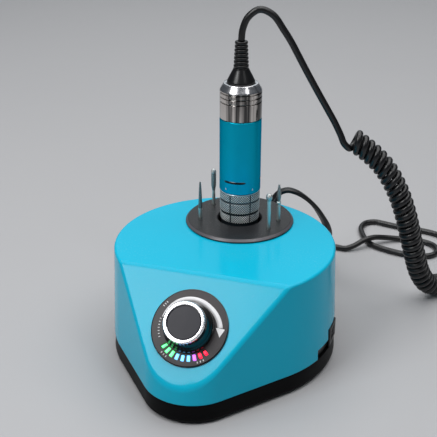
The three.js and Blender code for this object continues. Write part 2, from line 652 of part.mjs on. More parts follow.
// a tube along the given points: an extruded oval section with flat ends
function tube(points, width, height, sides, steps) {
  const path = new THREE.CatmullRomCurve3(points, false, 'centripetal');
  const shape = new THREE.Shape();
  for (let i = 0; i < sides; i += 1) {
    const a = 2 * Math.PI * (i + 0.5) / sides;
    const [x, y] = [0.5 * height * Math.cos(a), 0.5 * width * Math.sin(a)];
    if (i === 0) shape.moveTo(x, y);
    else shape.lineTo(x, y);
  }
  shape.closePath();
  return new THREE.ExtrudeGeometry(shape, { steps, extrudePath: path, bevelEnabled: false });
}

const CORD_Z = CORD_DIAMETER / 2 + 0.2;

// the cord routes are laid out from the handpiece axis, for these heights of boot and box;
// a stretch that hangs is drawn out or closed up to suit other heights
const DRAWN_BOOT_TOP = 189.6;
const DRAWN_BOX_HEIGHT = 72;
const GLAND_DRAWN_TOP = 61;
const CURL_REST = 7.3;           // centre of the curly part as it lies on the table
const CURL_START = 128.4;        // and where it leaves the arch
const arch = (x, y, z) => v3(x, AXIS_Y + y, BOOT_TOP + z - DRAWN_BOOT_TOP);
const hang = (x, y, z) => {
  const stretch = (CURL_START - CURL_REST + BOOT_TOP - DRAWN_BOOT_TOP) / (CURL_START - CURL_REST);
  return v3(x, AXIS_Y + y, CURL_REST + (z - CURL_REST) * stretch);
};
const lie = (x, y, z = CORD_Z) => v3(x, AXIS_Y + y, z);
const drape = (x, y, z) => {
  const rise = LEAD_THICKNESS / 2;
  const drop = GLAND_DRAWN_TOP - rise;
  const stretch = (BOX_HEIGHT - DRAWN_BOX_HEIGHT + drop) / drop;
  return v3(x, AXIS_Y + y, rise + (z - rise) * stretch);
};

// up out of the boot, over in an arch and down to the curly part
const CORD_TOP_POINTS = [
  arch(0, 0, DRAWN_BOOT_TOP + GAP), arch(0.6, 0.2, 196), arch(3.6, 1.1, 203.4),
  arch(10, 3.1, 207.9), arch(17.4, 5.5, 204.8), arch(24, 7.6, 195.5), arch(28.5, 9, 188.2),
  arch(32.9, 10.4, 179.8), arch(38.4, 12.2, 169.3), arch(44.9, 14.2, 157.4),
  arch(50.8, 16.1, 146.6), arch(56, 17.7, 136.8), arch(61.9, 19.6, 128.2),
];
// centre line of the curly part: it sags to the table and lies along it
const CURL_POINTS = [
  hang(65.5, 20.8, CURL_START), hang(71.5, 22.7, 122.4), hang(79.5, 25.2, 113.6),
  hang(87.5, 27.8, 103.5), hang(95.4, 31.3, 90), hang(101.5, 35.4, 75), hang(106, 40.2, 58),
  hang(109.8, 45.5, 41), hang(113.8, 52.4, 25), hang(119.6, 61.6, 12.6), hang(128, 74, 7.6),
  hang(135, 89, 7.3), hang(138.6, 105, 7.3), hang(139, 121, 7.3),
];
// the straight tail: a bight behind the box, under itself once, and back into the rear socket
const TAIL_POINTS = [
  lie(139, 121.6, 7.3), lie(138.7, 131, 4.6), lie(136, 145), lie(129, 157), lie(117, 165),
  lie(103, 168.5), lie(88, 169.5), lie(75.5, 172), lie(66.5, 173.5), lie(59.5, 169),
  lie(57.3, 159), lie(60.2, 148), lie(65, 137.5), lie(71.5, 130), lie(81, 125.8), lie(94, 122.5),
  lie(107, 122), lie(117, 126.5), lie(120.5, 135.5), lie(116, 144.5), lie(105, 148.8),
  lie(92, 147.8), lie(80.5, 142.7, 4.2), lie(70.6, 134, 6.9), lie(64, 127, 6.5),
  lie(58.2, 121.4, 4), lie(51.8, 117.8), lie(45, 118.2), lie(38, 118.6), lie(31.6, 114),
  lie(28.4, 105), lie(27.6, 94), lie(27.3, 84, 4.8), lie(27, 75, 11), lie(26.3, 68, 17),
  lie(25.2, 62.6, SOCKET_Z),
];
const COIL_CENTRE = v3(-38, AXIS_Y + 102, 0);
const COIL_RADIUS = 36;
const COIL_HALF_WIDTH = 9;
const COIL_HEIGHT = 7.2;
// the flat mains lead: up and over from its boot, down to the table and to its coil
const LEAD_POINTS = [
  drape(8.05, 48.25, 61.3), drape(9.6, 51.3, 65.4), drape(13, 54.2, 70.6), drape(18.5, 56, 72.6),
  drape(24.5, 58, 70.8), drape(30.3, 61, 66.3), drape(36, 65, 59.2), drape(40.5, 70, 49.9),
  drape(43.4, 75, 41), drape(44.2, 81, 30.5), drape(42, 88, 20.4), drape(37, 95.5, 13),
  drape(29.5, 103.5, 9), drape(22, 112, 5.5), drape(14, 121.5, 2.6), drape(4, 131, 2.2),
  drape(-6, 138.8, 2.2), drape(-15.8, 145.2, 2.2),
];
const MAINS_PLUG_PLACE = v3(COIL_CENTRE.x - COIL_RADIUS - COIL_HALF_WIDTH - 4,
  COIL_CENTRE.y - 10, 0);
const MAINS_PLUG_TURN = THREE.MathUtils.degToRad(-6);

function addCords() {
  const d = CORD_DIAMETER;
  add('handpiece_cord', tube(CORD_TOP_POINTS, d, d, 8, 14), cordBlack);
  add('curly_cord', tube(CURL_POINTS, CURL_DIAMETER, CURL_DIAMETER, 12, 14), cordBlack);
  add('cord_tail', tube(TAIL_POINTS, d, d, 8, 48), cordBlack);
  add('mains_lead', tube(LEAD_POINTS, LEAD_WIDTH, LEAD_THICKNESS, 8, 17), cordBlack);
  const coil = ring(COIL_RADIUS - COIL_HALF_WIDTH, COIL_RADIUS + COIL_HALF_WIDTH,
    0.4, COIL_HEIGHT, 32).translate(COIL_CENTRE.x, COIL_CENTRE.y, 0);
  add('mains_coil', coil, cordBlack);

  const plugLength = 28;
  const plugFoot = 2.4 + GAP;
  const plug = turned([
    [0, plugFoot], [PLUG_RADIUS, plugFoot], [PLUG_RADIUS, plugFoot + 14],
    [PLUG_RADIUS - 1.2, plugFoot + 15.5], [3.2, plugLength], [0, plugLength],
  ], 20);
  add('handpiece_plug', outOfBack(plug, HANDPIECE_SOCKET_DEG, PANEL_OUTER, SOCKET_Z), satinBlack);

  const boot = turned([
    [0, 0], [GLAND.rootRadius, 0], [GLAND.tipRadius, GLAND.tip.distanceTo(GLAND.foot)],
    [0, GLAND.tip.distanceTo(GLAND.foot)],
  ], 16);
  add('mains_boot', alongLine(boot, GLAND.foot, GLAND.tip), rubber);

  const shape = new THREE.Shape();
  shape.moveTo(-4.5, 0);
  shape.lineTo(4.5, 0);
  shape.lineTo(10.5, -13);
  shape.lineTo(12.5, -30);
  shape.lineTo(10, -37);
  shape.lineTo(-10, -37);
  shape.lineTo(-12.5, -30);
  shape.lineTo(-10.5, -13);
  shape.closePath();
  const plugBody = new THREE.ExtrudeGeometry(shape, { depth: 13, bevelEnabled: false });
  plugBody.translate(0, 0, 0.4);
  const pin = (x) => cylinder(2, 0, 19.5, 16).rotateX(Math.PI / 2).translate(x, -36.5, 6.9);
  const mains = join(plugBody, pin(-9.5), pin(9.5));
  mains.rotateZ(MAINS_PLUG_TURN).translate(MAINS_PLUG_PLACE.x, MAINS_PLUG_PLACE.y, 0);
  add('mains_plug', mains, satinBlack);
}

addBox();
addRear();
addDial();
addKnob();
addPower();
addHolder();
addBits();
addHandpiece();
addCords();

export default nailDrill;
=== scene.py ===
import math

import bmesh
import bpy
import numpy as np
from mathutils import Matrix, Vector


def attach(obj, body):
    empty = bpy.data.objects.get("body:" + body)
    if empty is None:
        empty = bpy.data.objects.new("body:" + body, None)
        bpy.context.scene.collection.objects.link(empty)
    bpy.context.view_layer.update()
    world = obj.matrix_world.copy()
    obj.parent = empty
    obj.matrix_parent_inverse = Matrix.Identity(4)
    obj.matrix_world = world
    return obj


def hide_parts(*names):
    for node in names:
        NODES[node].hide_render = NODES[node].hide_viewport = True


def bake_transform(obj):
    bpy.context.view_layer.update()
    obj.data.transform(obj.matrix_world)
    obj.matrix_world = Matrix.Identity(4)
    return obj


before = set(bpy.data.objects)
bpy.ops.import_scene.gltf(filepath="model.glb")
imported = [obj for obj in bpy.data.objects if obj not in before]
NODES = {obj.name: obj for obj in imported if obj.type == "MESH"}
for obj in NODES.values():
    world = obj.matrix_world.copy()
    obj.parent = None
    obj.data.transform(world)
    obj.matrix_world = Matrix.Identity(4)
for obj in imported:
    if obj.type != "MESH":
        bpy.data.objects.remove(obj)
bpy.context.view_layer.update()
MM = 0.001

# ---------- sizes shared with the CAD, in millimetres ----------
AXIS_Y = 42.5            # handpiece axis
BACK_Y = 10.5            # centre of the back arc of the box
NOSE_Y = -50.5           # centre of the nose arc
BACK_RADIUS = 68.0
NOSE_RADIUS = 28.0
BOX_HEIGHT = 72.0
DRAFT = 0.042
SHELL_FOOT = 13.3
SHELL_WALL = 2.6
CREASE_Y = -33.2
FACET_TILT = math.radians(45.5)
DIAL_DOWN_SLOPE = 32.7
CORD_D = 4.2
CORD_Z = 2.3             # height of the cord's centre where it lies on the table
LEAD_WIDTH, LEAD_THICK = 6.0, 3.1


# ---------- camera ----------
SENSOR_WIDTH, LENS = 36.0, 74.14
CAMERA_SPOT = (0.14671, -0.46506, 0.31971)
CAMERA_TILT, CAMERA_HEADING = math.radians(64.97), math.radians(17.6)


def aim_camera():
    data = bpy.data.cameras.new("camera")
    data.sensor_width = SENSOR_WIDTH
    data.lens = LENS
    cam = bpy.data.objects.new("camera", data)
    cam.location = CAMERA_SPOT
    cam.rotation_euler = (CAMERA_TILT, 0.0, CAMERA_HEADING)
    bpy.context.scene.collection.objects.link(cam)
    bpy.context.scene.camera = cam


aim_camera()


# ---------- making meshes ----------
def new_piece(name, verts, faces, material, smooth=True):
    """A mesh object from points in millimetres."""
    mesh = bpy.data.meshes.new(name)
    mesh.from_pydata([tuple(v) for v in np.asarray(verts, float) * MM], [], [tuple(f) for f in faces])
    mesh.validate()
    mesh.update()
    piece = bpy.data.objects.new(name, mesh)
    bpy.context.scene.collection.objects.link(piece)
    mesh.materials.append(material)
    if smooth:
        mesh.shade_smooth()
    return piece


def grid_faces(rows, cols, close_rows=False, close_cols=True):
    """Quads over a grid of rows x cols points, row by row."""
    i = np.arange(rows if close_rows else rows - 1)
    j = np.arange(cols if close_cols else cols - 1)
    a, b = np.meshgrid(i, j, indexing="ij")
    a2, b2 = (a + 1) % rows, (b + 1) % cols
    return np.stack([a * cols + b, a * cols + b2, a2 * cols + b2, a2 * cols + b], -1).reshape(-1, 4)


def apply_modifiers(piece):
    bpy.context.view_layer.update()
    graph = bpy.context.evaluated_depsgraph_get()
    mesh = bpy.data.meshes.new_from_object(piece.evaluated_get(graph))
    old = piece.data
    piece.modifiers.clear()
    piece.data = mesh
    bpy.data.meshes.remove(old)


def soften(piece, width=0.3, segments=2, angle=35):
    """Rounds the sharp edges of a piece and keeps its flats flat."""
    bevel = piece.modifiers.new("round", "BEVEL")
    bevel.width = width * MM
    bevel.segments = segments
    bevel.limit_method = "ANGLE"
    bevel.angle_limit = math.radians(angle)
    bevel.harden_normals = False
    weighted = piece.modifiers.new("normals", "WEIGHTED_NORMAL")
    weighted.keep_sharp = True
    apply_modifiers(piece)
    piece.data.shade_smooth()
    return piece


def smooth_by_angle(piece, degrees=32):
    """Shades smooth but keeps edges sharper than this crisp."""
    mesh = piece.data
    bm = bmesh.new()
    bm.from_mesh(mesh)
    limit = math.radians(degrees)
    for edge in bm.edges:
        if len(edge.link_faces) == 2 and edge.calc_face_angle() > limit:
            edge.smooth = False
    for face in bm.faces:
        face.smooth = True
    bm.to_mesh(mesh)
    bm.free()
    return piece


def carve(piece, cutters, operation="DIFFERENCE"):
    """Cuts pieces out of a piece (or joins them to it) and throws the cutters away."""
    for cutter in cutters:
        boolean = piece.modifiers.new("cut", "BOOLEAN")
        boolean.operation = operation
        boolean.solver = "EXACT"
        boolean.object = cutter
        apply_modifiers(piece)
        bpy.data.objects.remove(cutter)
    return piece


def fix_normals(piece):
    bm = bmesh.new()
    bm.from_mesh(piece.data)
    bmesh.ops.recalc_face_normals(bm, faces=bm.faces)
    bm.to_mesh(piece.data)
    bm.free()


def place(piece, matrix):
    piece.data.transform(matrix)
    return piece


def fillet(points, radius, steps=4):
    """Rounds the corners of an open [radius, z] outline. radius: one size, or one for each inner corner."""
    pts = [np.array(p, float) for p in points]
    sizes = radius if hasattr(radius, "__len__") else [radius] * (len(pts) - 2)
    out = [pts[0]]
    for k in range(1, len(pts) - 1):
        a, b, c = pts[k - 1], pts[k], pts[k + 1]
        u, v = a - b, c - b
        lu, lv = np.linalg.norm(u), np.linalg.norm(v)
        u, v = u / lu, v / lv
        turn = math.pi - math.acos(max(-1, min(1, float(u @ v))))
        size = sizes[k - 1]
        if turn < 0.05 or size <= 0:
            out.append(b)
            continue
        reach = min(size * math.tan(turn / 2), 0.45 * lu, 0.45 * lv)
        p, q = b + u * reach, b + v * reach
        for i in range(steps + 1):
            t = i / steps
            out.append((1 - t) ** 2 * p + 2 * t * (1 - t) * b + t ** 2 * q)
    out.append(pts[-1])
    return np.array(out)


def lathe(name, outline, material, segments=96, centre=(0, 0), close=False, matrix=None):
    """A turned piece about the Z axis at centre, from [radius, z] points.

    close joins the last point to the first.
    """
    prof = np.asarray(outline, float)
    if np.linalg.norm(prof[0] - prof[-1]) < 1e-6:
        prof, close = prof[:-1], True
    ang = np.linspace(0, 2 * math.pi, segments, endpoint=False)
    verts, rings = [], []
    for r, z in prof:
        if r < 1e-6:
            rings.append([len(verts)] * segments)
            verts.append((centre[0], centre[1], z))
        else:
            start = len(verts)
            rings.append(list(range(start, start + segments)))
            verts.extend((centre[0] + r * math.cos(a), centre[1] + r * math.sin(a), z) for a in ang)
    faces = []
    pairs = list(zip(rings, rings[1:])) + ([(rings[-1], rings[0])] if close else [])
    for low, high in pairs:
        for j in range(segments):
            k = (j + 1) % segments
            loop = [low[j], low[k], high[k], high[j]]
            clean = [v for n, v in enumerate(loop) if v not in loop[:n]]
            if len(clean) > 2:
                faces.append(clean)
    piece = new_piece(name, verts, faces, material)
    if matrix is not None:
        place(piece, matrix)
    return smooth_by_angle(piece)


def tube(name, path, section, material, flat_up=None):
    """A closed tube along a path of points in mm. section: (n, 2) outline; flat_up keeps its x axis level."""
    path = np.asarray(path, float)
    tangent = np.gradient(path, axis=0)
    tangent /= np.linalg.norm(tangent, axis=1)[:, None]
    frames = []
    side = None
    for i, t in enumerate(tangent):
        if flat_up is not None:
            side = np.cross(flat_up[i], t)
        else:
            side = np.cross((0.0, 0.0, 1.0) if abs(t[2]) < 0.9 else (1.0, 0, 0), t) if side is None \
                else side - (side @ t) * t
        side = side / np.linalg.norm(side)
        frames.append((side, np.cross(t, side)))
    verts = []
    for p, (sx, sy) in zip(path, frames):
        verts.extend(p + x * sx + y * sy for x, y in section)
    n = len(section)
    faces = [tuple(f) for f in grid_faces(len(path), n)]
    faces = [f[::-1] for f in faces]
    last = (len(path) - 1) * n
    faces.append(tuple(range(n)))
    faces.append(tuple(range(last + n - 1, last - 1, -1)))
    piece = new_piece(name, verts, faces, material)
    fix_normals(piece)
    return smooth_by_angle(piece, 50)


def spline(points, spacing):
    """Evenly spaced points on a smooth curve through the given ones (centripetal Catmull-Rom)."""
    p = np.asarray(points, float)
    p = np.vstack([2 * p[0] - p[1], p, 2 * p[-1] - p[-2]])
    dense = []
    for i in range(1, len(p) - 2):
        t = [0.0]
        for a, b in ((i - 1, i), (i, i + 1), (i + 1, i + 2)):
            t.append(t[-1] + max(np.linalg.norm(p[b] - p[a]), 1e-9) ** 0.5)
        for s in np.linspace(t[1], t[2], 24, endpoint=False):
            a1 = (t[1] - s) / (t[1] - t[0]) * p[i - 1] + (s - t[0]) / (t[1] - t[0]) * p[i]
            a2 = (t[2] - s) / (t[2] - t[1]) * p[i] + (s - t[1]) / (t[2] - t[1]) * p[i + 1]
            a3 = (t[3] - s) / (t[3] - t[2]) * p[i + 1] + (s - t[2]) / (t[3] - t[2]) * p[i + 2]
            b1 = (t[2] - s) / (t[2] - t[0]) * a1 + (s - t[0]) / (t[2] - t[0]) * a2
            b2 = (t[3] - s) / (t[3] - t[1]) * a2 + (s - t[1]) / (t[3] - t[1]) * a3
            dense.append((t[2] - s) / (t[2] - t[1]) * b1 + (s - t[1]) / (t[2] - t[1]) * b2)
    dense.append(p[-2])
    return even(np.array(dense), spacing)


def even(points, spacing):
    along = np.concatenate([[0], np.cumsum(np.linalg.norm(np.diff(points, axis=0), axis=1))])
    count = max(3, int(round(along[-1] / spacing)) + 1)
    at = np.linspace(0, along[-1], count)
    return np.stack([np.interp(at, along, points[:, k]) for k in range(3)], 1)


def smoothed(values, reach=4):
    """A running mean over the neighbours on either side."""
    width = 2 * reach + 1
    return np.convolve(np.pad(values, reach, mode="edge"), np.ones(width) / width, "valid")


def oval(width, height, count):
    a = 2 * math.pi * (np.arange(count) + 0.5) / count
    # a flat lead has straight broad sides and round edges
    c, s = np.cos(a), np.sin(a)
    k = 0.62 if abs(width - height) > 1e-6 else 1.0
    return np.stack([width / 2 * np.sign(c) * np.abs(c) ** k, height / 2 * np.sign(s) * np.abs(s) ** k], 1)


# ---------- shared finishes, as node groups ----------
def new_group(name, inputs, outputs):
    """A shader node group. inputs: {name: (socket type, default)}; outputs: {name: socket type}."""
    group = bpy.data.node_groups.new(name, "ShaderNodeTree")
    for label, (kind, value) in inputs.items():
        socket = group.interface.new_socket(name=label, in_out="INPUT", socket_type=kind)
        socket.default_value = value
    for label, kind in outputs.items():
        group.interface.new_socket(name=label, in_out="OUTPUT", socket_type=kind)
    return group, group.nodes.new("NodeGroupInput").outputs, group.nodes.new("NodeGroupOutput")


def set_socket(tree, socket, value):
    """Links a socket where given another socket, and sets it otherwise."""
    if isinstance(value, bpy.types.NodeSocket):
        tree.links.new(value, socket)
    else:
        socket.default_value = value


def node(tree, kind, values=None, **settings):
    """A node with its settings; values sets its sockets by name or number, linking where given a socket."""
    made = tree.nodes.new(kind)
    for key, value in settings.items():
        setattr(made, key, value)
    for key, value in (values or {}).items():
        set_socket(tree, made.inputs[key], value)
    return made


def math_node(tree, operation, a, b=0.0, c=0.0, clamp=False):
    made = node(tree, "ShaderNodeMath", {0: a, 1: b, 2: c}, operation=operation)
    made.use_clamp = clamp
    return made.outputs[0]


def mix_colour(tree, factor, a, b, blend="MIX"):
    made = tree.nodes.new("ShaderNodeMix")
    made.data_type = "RGBA"
    made.blend_type = blend
    for socket, value in ((made.inputs[0], factor), (made.inputs[6], a), (made.inputs[7], b)):
        set_socket(tree, socket, value)
    return made.outputs[2]


def ramp(tree, factor, low, high, to_low=0.0, to_high=1.0):
    made = node(tree, "ShaderNodeMapRange", {0: factor, 1: low, 2: high, 3: to_low, 4: to_high})
    made.clamp = True
    return made.outputs[0]


FLOAT, COLOUR = "NodeSocketFloat", "NodeSocketColor"


def object_place(tree):
    """The place on the piece, in its own space."""
    return tree.nodes.new("ShaderNodeTexCoord").outputs["Object"]


def build_colour_drift():
    """Slow uneven tint, as in real moulded or dyed material."""
    group, given, out = new_group(
        "colour drift",
        {"Colour": (COLOUR, (0.5, 0.5, 0.5, 1)), "Scale": (FLOAT, 40.0),
         "Amount": (FLOAT, 0.1)},
        {"Colour": COLOUR})
    here = object_place(group)
    noise = node(group, "ShaderNodeTexNoise", {"Vector": here, "Scale": given["Scale"],
                                               "Detail": 4.0, "Roughness": 0.55})
    centred = math_node(group, "SUBTRACT", noise.outputs["Fac"], 0.5)
    gain = math_node(group, "MULTIPLY_ADD", centred, math_node(group, "MULTIPLY", given["Amount"], 2.0), 1.0)
    bright = node(group, "ShaderNodeHueSaturation", {"Color": given["Colour"], "Value": gain})
    group.links.new(bright.outputs["Color"], out.inputs["Colour"])
    return group


def build_grain():
    """Fine spark-eroded texture of a moulding: a height and a roughness that belong together."""
    group, given, out = new_group(
        "moulded grain",
        {"Scale": (FLOAT, 1500.0), "Roughness": (FLOAT, 0.4),
         "Spread": (FLOAT, 0.08)},
        {"Height": FLOAT, "Roughness": FLOAT})
    here = object_place(group)
    noise = node(group, "ShaderNodeTexNoise", {"Vector": here, "Scale": given["Scale"],
                                               "Detail": 3.0, "Roughness": 0.6})
    cells = node(group, "ShaderNodeTexVoronoi", {"Vector": here,
                                                 "Scale": math_node(group, "MULTIPLY", given["Scale"], 0.7)},
                 feature="SMOOTH_F1")
    height = math_node(group, "MULTIPLY_ADD", cells.outputs["Distance"], 0.5, noise.outputs["Fac"])
    group.links.new(height, out.inputs["Height"])
    slow = node(group, "ShaderNodeTexNoise", {"Vector": here,
                                              "Scale": math_node(group, "MULTIPLY", given["Scale"], 0.03),
                                              "Detail": 3.0})
    off = math_node(group, "MULTIPLY", math_node(group, "SUBTRACT", slow.outputs["Fac"], 0.5), 2.0)
    rough = math_node(group, "MULTIPLY_ADD", off, given["Spread"], given["Roughness"], clamp=True)
    group.links.new(rough, out.inputs["Roughness"])
    return group


def build_wear():
    """Edges rubbed paler, from how sharply the surface turns."""
    group, given, out = new_group(
        "edge wear",
        {"Colour": (COLOUR, (0.1, 0.1, 0.1, 1)), "Worn": (COLOUR, (0.3, 0.3, 0.3, 1)),
         "Amount": (FLOAT, 0.3), "Scale": (FLOAT, 300.0)},
        {"Colour": COLOUR, "Mask": FLOAT})
    shape = group.nodes.new("ShaderNodeNewGeometry")
    here = object_place(group)
    edge = ramp(group, shape.outputs["Pointiness"], 0.52, 0.62)
    noise = node(group, "ShaderNodeTexNoise", {"Vector": here, "Scale": given["Scale"],
                                               "Detail": 5.0, "Roughness": 0.7})
    patchy = ramp(group, noise.outputs["Fac"], 0.4, 0.62)
    mask = math_node(group, "MULTIPLY", math_node(group, "MULTIPLY", edge, patchy), given["Amount"],
                     clamp=True)
    group.links.new(mix_colour(group, mask, given["Colour"], given["Worn"]), out.inputs["Colour"])
    group.links.new(mask, out.inputs["Mask"])
    return group


def build_dust():
    """A little dust on faces that look up."""
    group, given, out = new_group(
        "settled dust",
        {"Colour": (COLOUR, (0.1, 0.1, 0.1, 1)), "Amount": (FLOAT, 0.1)},
        {"Colour": COLOUR, "Mask": FLOAT})
    shape = group.nodes.new("ShaderNodeNewGeometry")
    here = object_place(group)
    facing = node(group, "ShaderNodeSeparateXYZ", {0: shape.outputs["Normal"]})
    up = ramp(group, facing.outputs["Z"], 0.3, 1.0)
    specks = node(group, "ShaderNodeTexNoise", {"Vector": here, "Scale": 900.0, "Detail": 2.0})
    clouds = node(group, "ShaderNodeTexNoise", {"Vector": here, "Scale": 35.0, "Detail": 3.0})
    both = math_node(group, "MULTIPLY", ramp(group, specks.outputs["Fac"], 0.56, 0.72),
                     ramp(group, clouds.outputs["Fac"], 0.35, 0.7))
    mask = math_node(group, "MULTIPLY", math_node(group, "MULTIPLY", both, up), given["Amount"], clamp=True)
    group.links.new(mix_colour(group, mask, given["Colour"], (0.55, 0.54, 0.52, 1)), out.inputs["Colour"])
    group.links.new(mask, out.inputs["Mask"])
    return group


def build_turning():
    """Fine lathe lines round the Z axis: a height that changes along the axis only."""
    group, given, out = new_group(
        "turned lines",
        {"Lines": (FLOAT, 6000.0), "Roughness": (FLOAT, 0.2),
         "Spread": (FLOAT, 0.1)},
        {"Height": FLOAT, "Roughness": FLOAT})
    here = object_place(group)
    stretch = node(group, "ShaderNodeVectorMath", {0: here, 1: (0.012, 0.012, 1.0)},
                   operation="MULTIPLY")
    lines = node(group, "ShaderNodeTexNoise", {"Vector": stretch.outputs[0], "Scale": given["Lines"],
                                               "Detail": 2.0, "Roughness": 0.7})
    group.links.new(lines.outputs["Fac"], out.inputs["Height"])
    off = math_node(group, "SUBTRACT", lines.outputs["Fac"], 0.5)
    rough = math_node(group, "MULTIPLY_ADD", off, given["Spread"], given["Roughness"], clamp=True)
    group.links.new(rough, out.inputs["Roughness"])
    return group


def build_smudges():
    """Faint finger marks on a polished face, as a roughness."""
    group, given, out = new_group(
        "finger marks",
        {"Roughness": (FLOAT, 0.1), "Amount": (FLOAT, 0.1), "Scale": (FLOAT, 60.0)},
        {"Roughness": FLOAT})
    here = object_place(group)
    blots = node(group, "ShaderNodeTexNoise", {"Vector": here, "Scale": given["Scale"],
                                               "Detail": 6.0, "Roughness": 0.65, "Distortion": 0.6})
    mask = ramp(group, blots.outputs["Fac"], 0.5, 0.72)
    rough = math_node(group, "MULTIPLY_ADD", mask, given["Amount"], given["Roughness"], clamp=True)
    group.links.new(rough, out.inputs["Roughness"])
    return group


DRIFT = build_colour_drift()
GRAIN = build_grain()
WEAR = build_wear()
DUST = build_dust()
TURNING = build_turning()
SMUDGES = build_smudges()


# ---------- materials ----------
def rgb(r, g, b):
    """A colour given as it is seen, 0 to 255, made linear."""
    def straight(v):
        v /= 255.0
        return v / 12.92 if v <= 0.04045 else ((v + 0.055) / 1.055) ** 2.4
    return (straight(r), straight(g), straight(b), 1.0)


def use(tree, group, **values):
    """Places a node group in a material and gives its outputs."""
    made = tree.nodes.new("ShaderNodeGroup")
    made.node_tree = group
    for key, value in values.items():
        set_socket(tree, made.inputs[key], value)
    return made.outputs


def new_material(name, **sockets):
    """A material with its Principled shader; returns (material, tree, shader)."""
    material = bpy.data.materials.new(name)
    material.use_nodes = True
    tree = material.node_tree
    shader = tree.nodes["Principled BSDF"]
    for key, value in sockets.items():
        shader.inputs[key.replace("_", " ")].default_value = value
    return material, tree, shader


def coat(tree, shader, tint, roughness):
    """Joins a tint and a roughness to a shader."""
    tree.links.new(tint, shader.inputs["Base Color"])
    tree.links.new(roughness, shader.inputs["Roughness"])


def bump(tree, shader, height, strength, distance):
    made = node(tree, "ShaderNodeBump", {"Height": height, "Strength": strength, "Distance": distance})
    tree.links.new(made.outputs["Normal"], shader.inputs["Normal"])
    return made


def plastic(name, colour, roughness, grain_scale=1500.0, grain=0.3, spread=0.06, drift=0.12, worn=None,
            wear=0.0, dust=0.0, **sockets):
    """Moulded plastic or rubber: tint drift, edge wear, dust and fine grain."""
    material, tree, shader = new_material(name, **sockets)
    tint = use(tree, DRIFT, Colour=colour, Scale=45.0, Amount=drift)["Colour"]
    if wear:
        tint = use(tree, WEAR, Colour=tint, Worn=worn, Amount=wear, Scale=260.0)["Colour"]
    if dust:
        tint = use(tree, DUST, Colour=tint, Amount=dust)["Colour"]
    skin = use(tree, GRAIN, Scale=grain_scale, Roughness=roughness, Spread=spread)
    coat(tree, shader, tint, skin["Roughness"])
    bump(tree, shader, skin["Height"], grain, 0.00006)
    return material


def metal(name, colour, roughness, lines=6000.0, depth=0.25, spread=0.12, drift=0.05, marks=0.0, **sockets):
    """Turned or plated metal."""
    material, tree, shader = new_material(name, Metallic=1.0, **sockets)
    tint = use(tree, DRIFT, Colour=colour, Scale=90.0, Amount=drift)["Colour"]
    tree.links.new(tint, shader.inputs["Base Color"])
    lathe_lines = use(tree, TURNING, Lines=lines, Roughness=roughness, Spread=spread)
    rough = lathe_lines["Roughness"]
    if marks:
        rough = use(tree, SMUDGES, Roughness=rough, Amount=marks, Scale=120.0)["Roughness"]
    tree.links.new(rough, shader.inputs["Roughness"])
    bump(tree, shader, lathe_lines["Height"], depth, 0.00002)
    return material


def plating_with_painted_reflections():
    """Polished plating with painted reflections: dark and bright streaks along the handpiece are painted into
    its colour.
    """
    material, tree, shader = new_material("polished plating", Metallic=1.0)
    here = object_place(tree)
    shift = node(tree, "ShaderNodeMapping", {"Vector": here, "Scale": (1.0, 1.0, 0.02)})
    painted_reflection_streaks = node(tree, "ShaderNodeTexNoise", {"Vector": shift.outputs[0], "Scale": 190.0, "Detail": 3.0,
                                               "Roughness": 0.6})
    share = ramp(tree, painted_reflection_streaks.outputs["Fac"], 0.43, 0.56)
    # painted reflections: the streak noise mixes the colour between near black and bright metal
    tint = mix_colour(tree, share, (0.07, 0.068, 0.068, 1), (0.66, 0.62, 0.59, 1))
    tree.links.new(tint, shader.inputs["Base Color"])
    lathe_lines = use(tree, TURNING, Lines=5000.0, Roughness=0.1, Spread=0.04)
    marks = use(tree, SMUDGES, Roughness=lathe_lines["Roughness"], Amount=0.06, Scale=120.0)
    tree.links.new(marks["Roughness"], shader.inputs["Roughness"])
    bump(tree, shader, lathe_lines["Height"], 0.04, 0.00002)
    return material


def knurled_steel():
    """Bright steel with painted shade darkening its cut grooves and recessed rings."""
    material, tree, shader = new_material("knurled steel", Metallic=0.6)
    depth = node(tree, "ShaderNodeAttribute", attribute_name="groove painted shade").outputs["Fac"]
    bright = use(tree, DRIFT, Colour=(0.95, 1.0, 1.0, 1), Scale=300.0, Amount=0.08)["Colour"]
    # painted shade: points with a high groove shade value are mixed towards near black
    tint = mix_colour(tree, ramp(tree, depth, 0.3, 0.85), bright, (0.03, 0.045, 0.055, 1))
    skin = use(tree, GRAIN, Scale=3000.0, Roughness=0.3, Spread=0.08)
    coat(tree, shader, tint, skin["Roughness"])
    bump(tree, shader, skin["Height"], 0.15, 0.00003)
    return material


def blue_gloss():
    """High-gloss cyan moulding: deep colour under a clear, slightly wavy surface with faint finger marks."""
    material, tree, shader = new_material("cyan gloss shell", Specular_IOR_Level=0.22, IOR=1.42)
    tint = use(tree, DRIFT, Colour=rgb(*SHELL_COLOUR), Scale=14.0, Amount=0.035)["Colour"]
    tint = use(tree, WEAR, Colour=tint, Worn=rgb(100, 214, 235), Amount=0.12, Scale=160.0)["Colour"]
    tint = use(tree, DUST, Colour=tint, Amount=0.05)["Colour"]
    tree.links.new(tint, shader.inputs["Base Color"])
    marks = use(tree, SMUDGES, Roughness=0.16, Amount=0.07, Scale=55.0)
    tree.links.new(marks["Roughness"], shader.inputs["Roughness"])
    here = object_place(tree)
    ripple = node(tree, "ShaderNodeTexNoise", {"Vector": here, "Scale": 38.0, "Detail": 2.0})
    bump(tree, shader, ripple.outputs["Fac"], 0.16, 0.0004)
    return material


SHELL_COLOUR = (18, 178, 210)


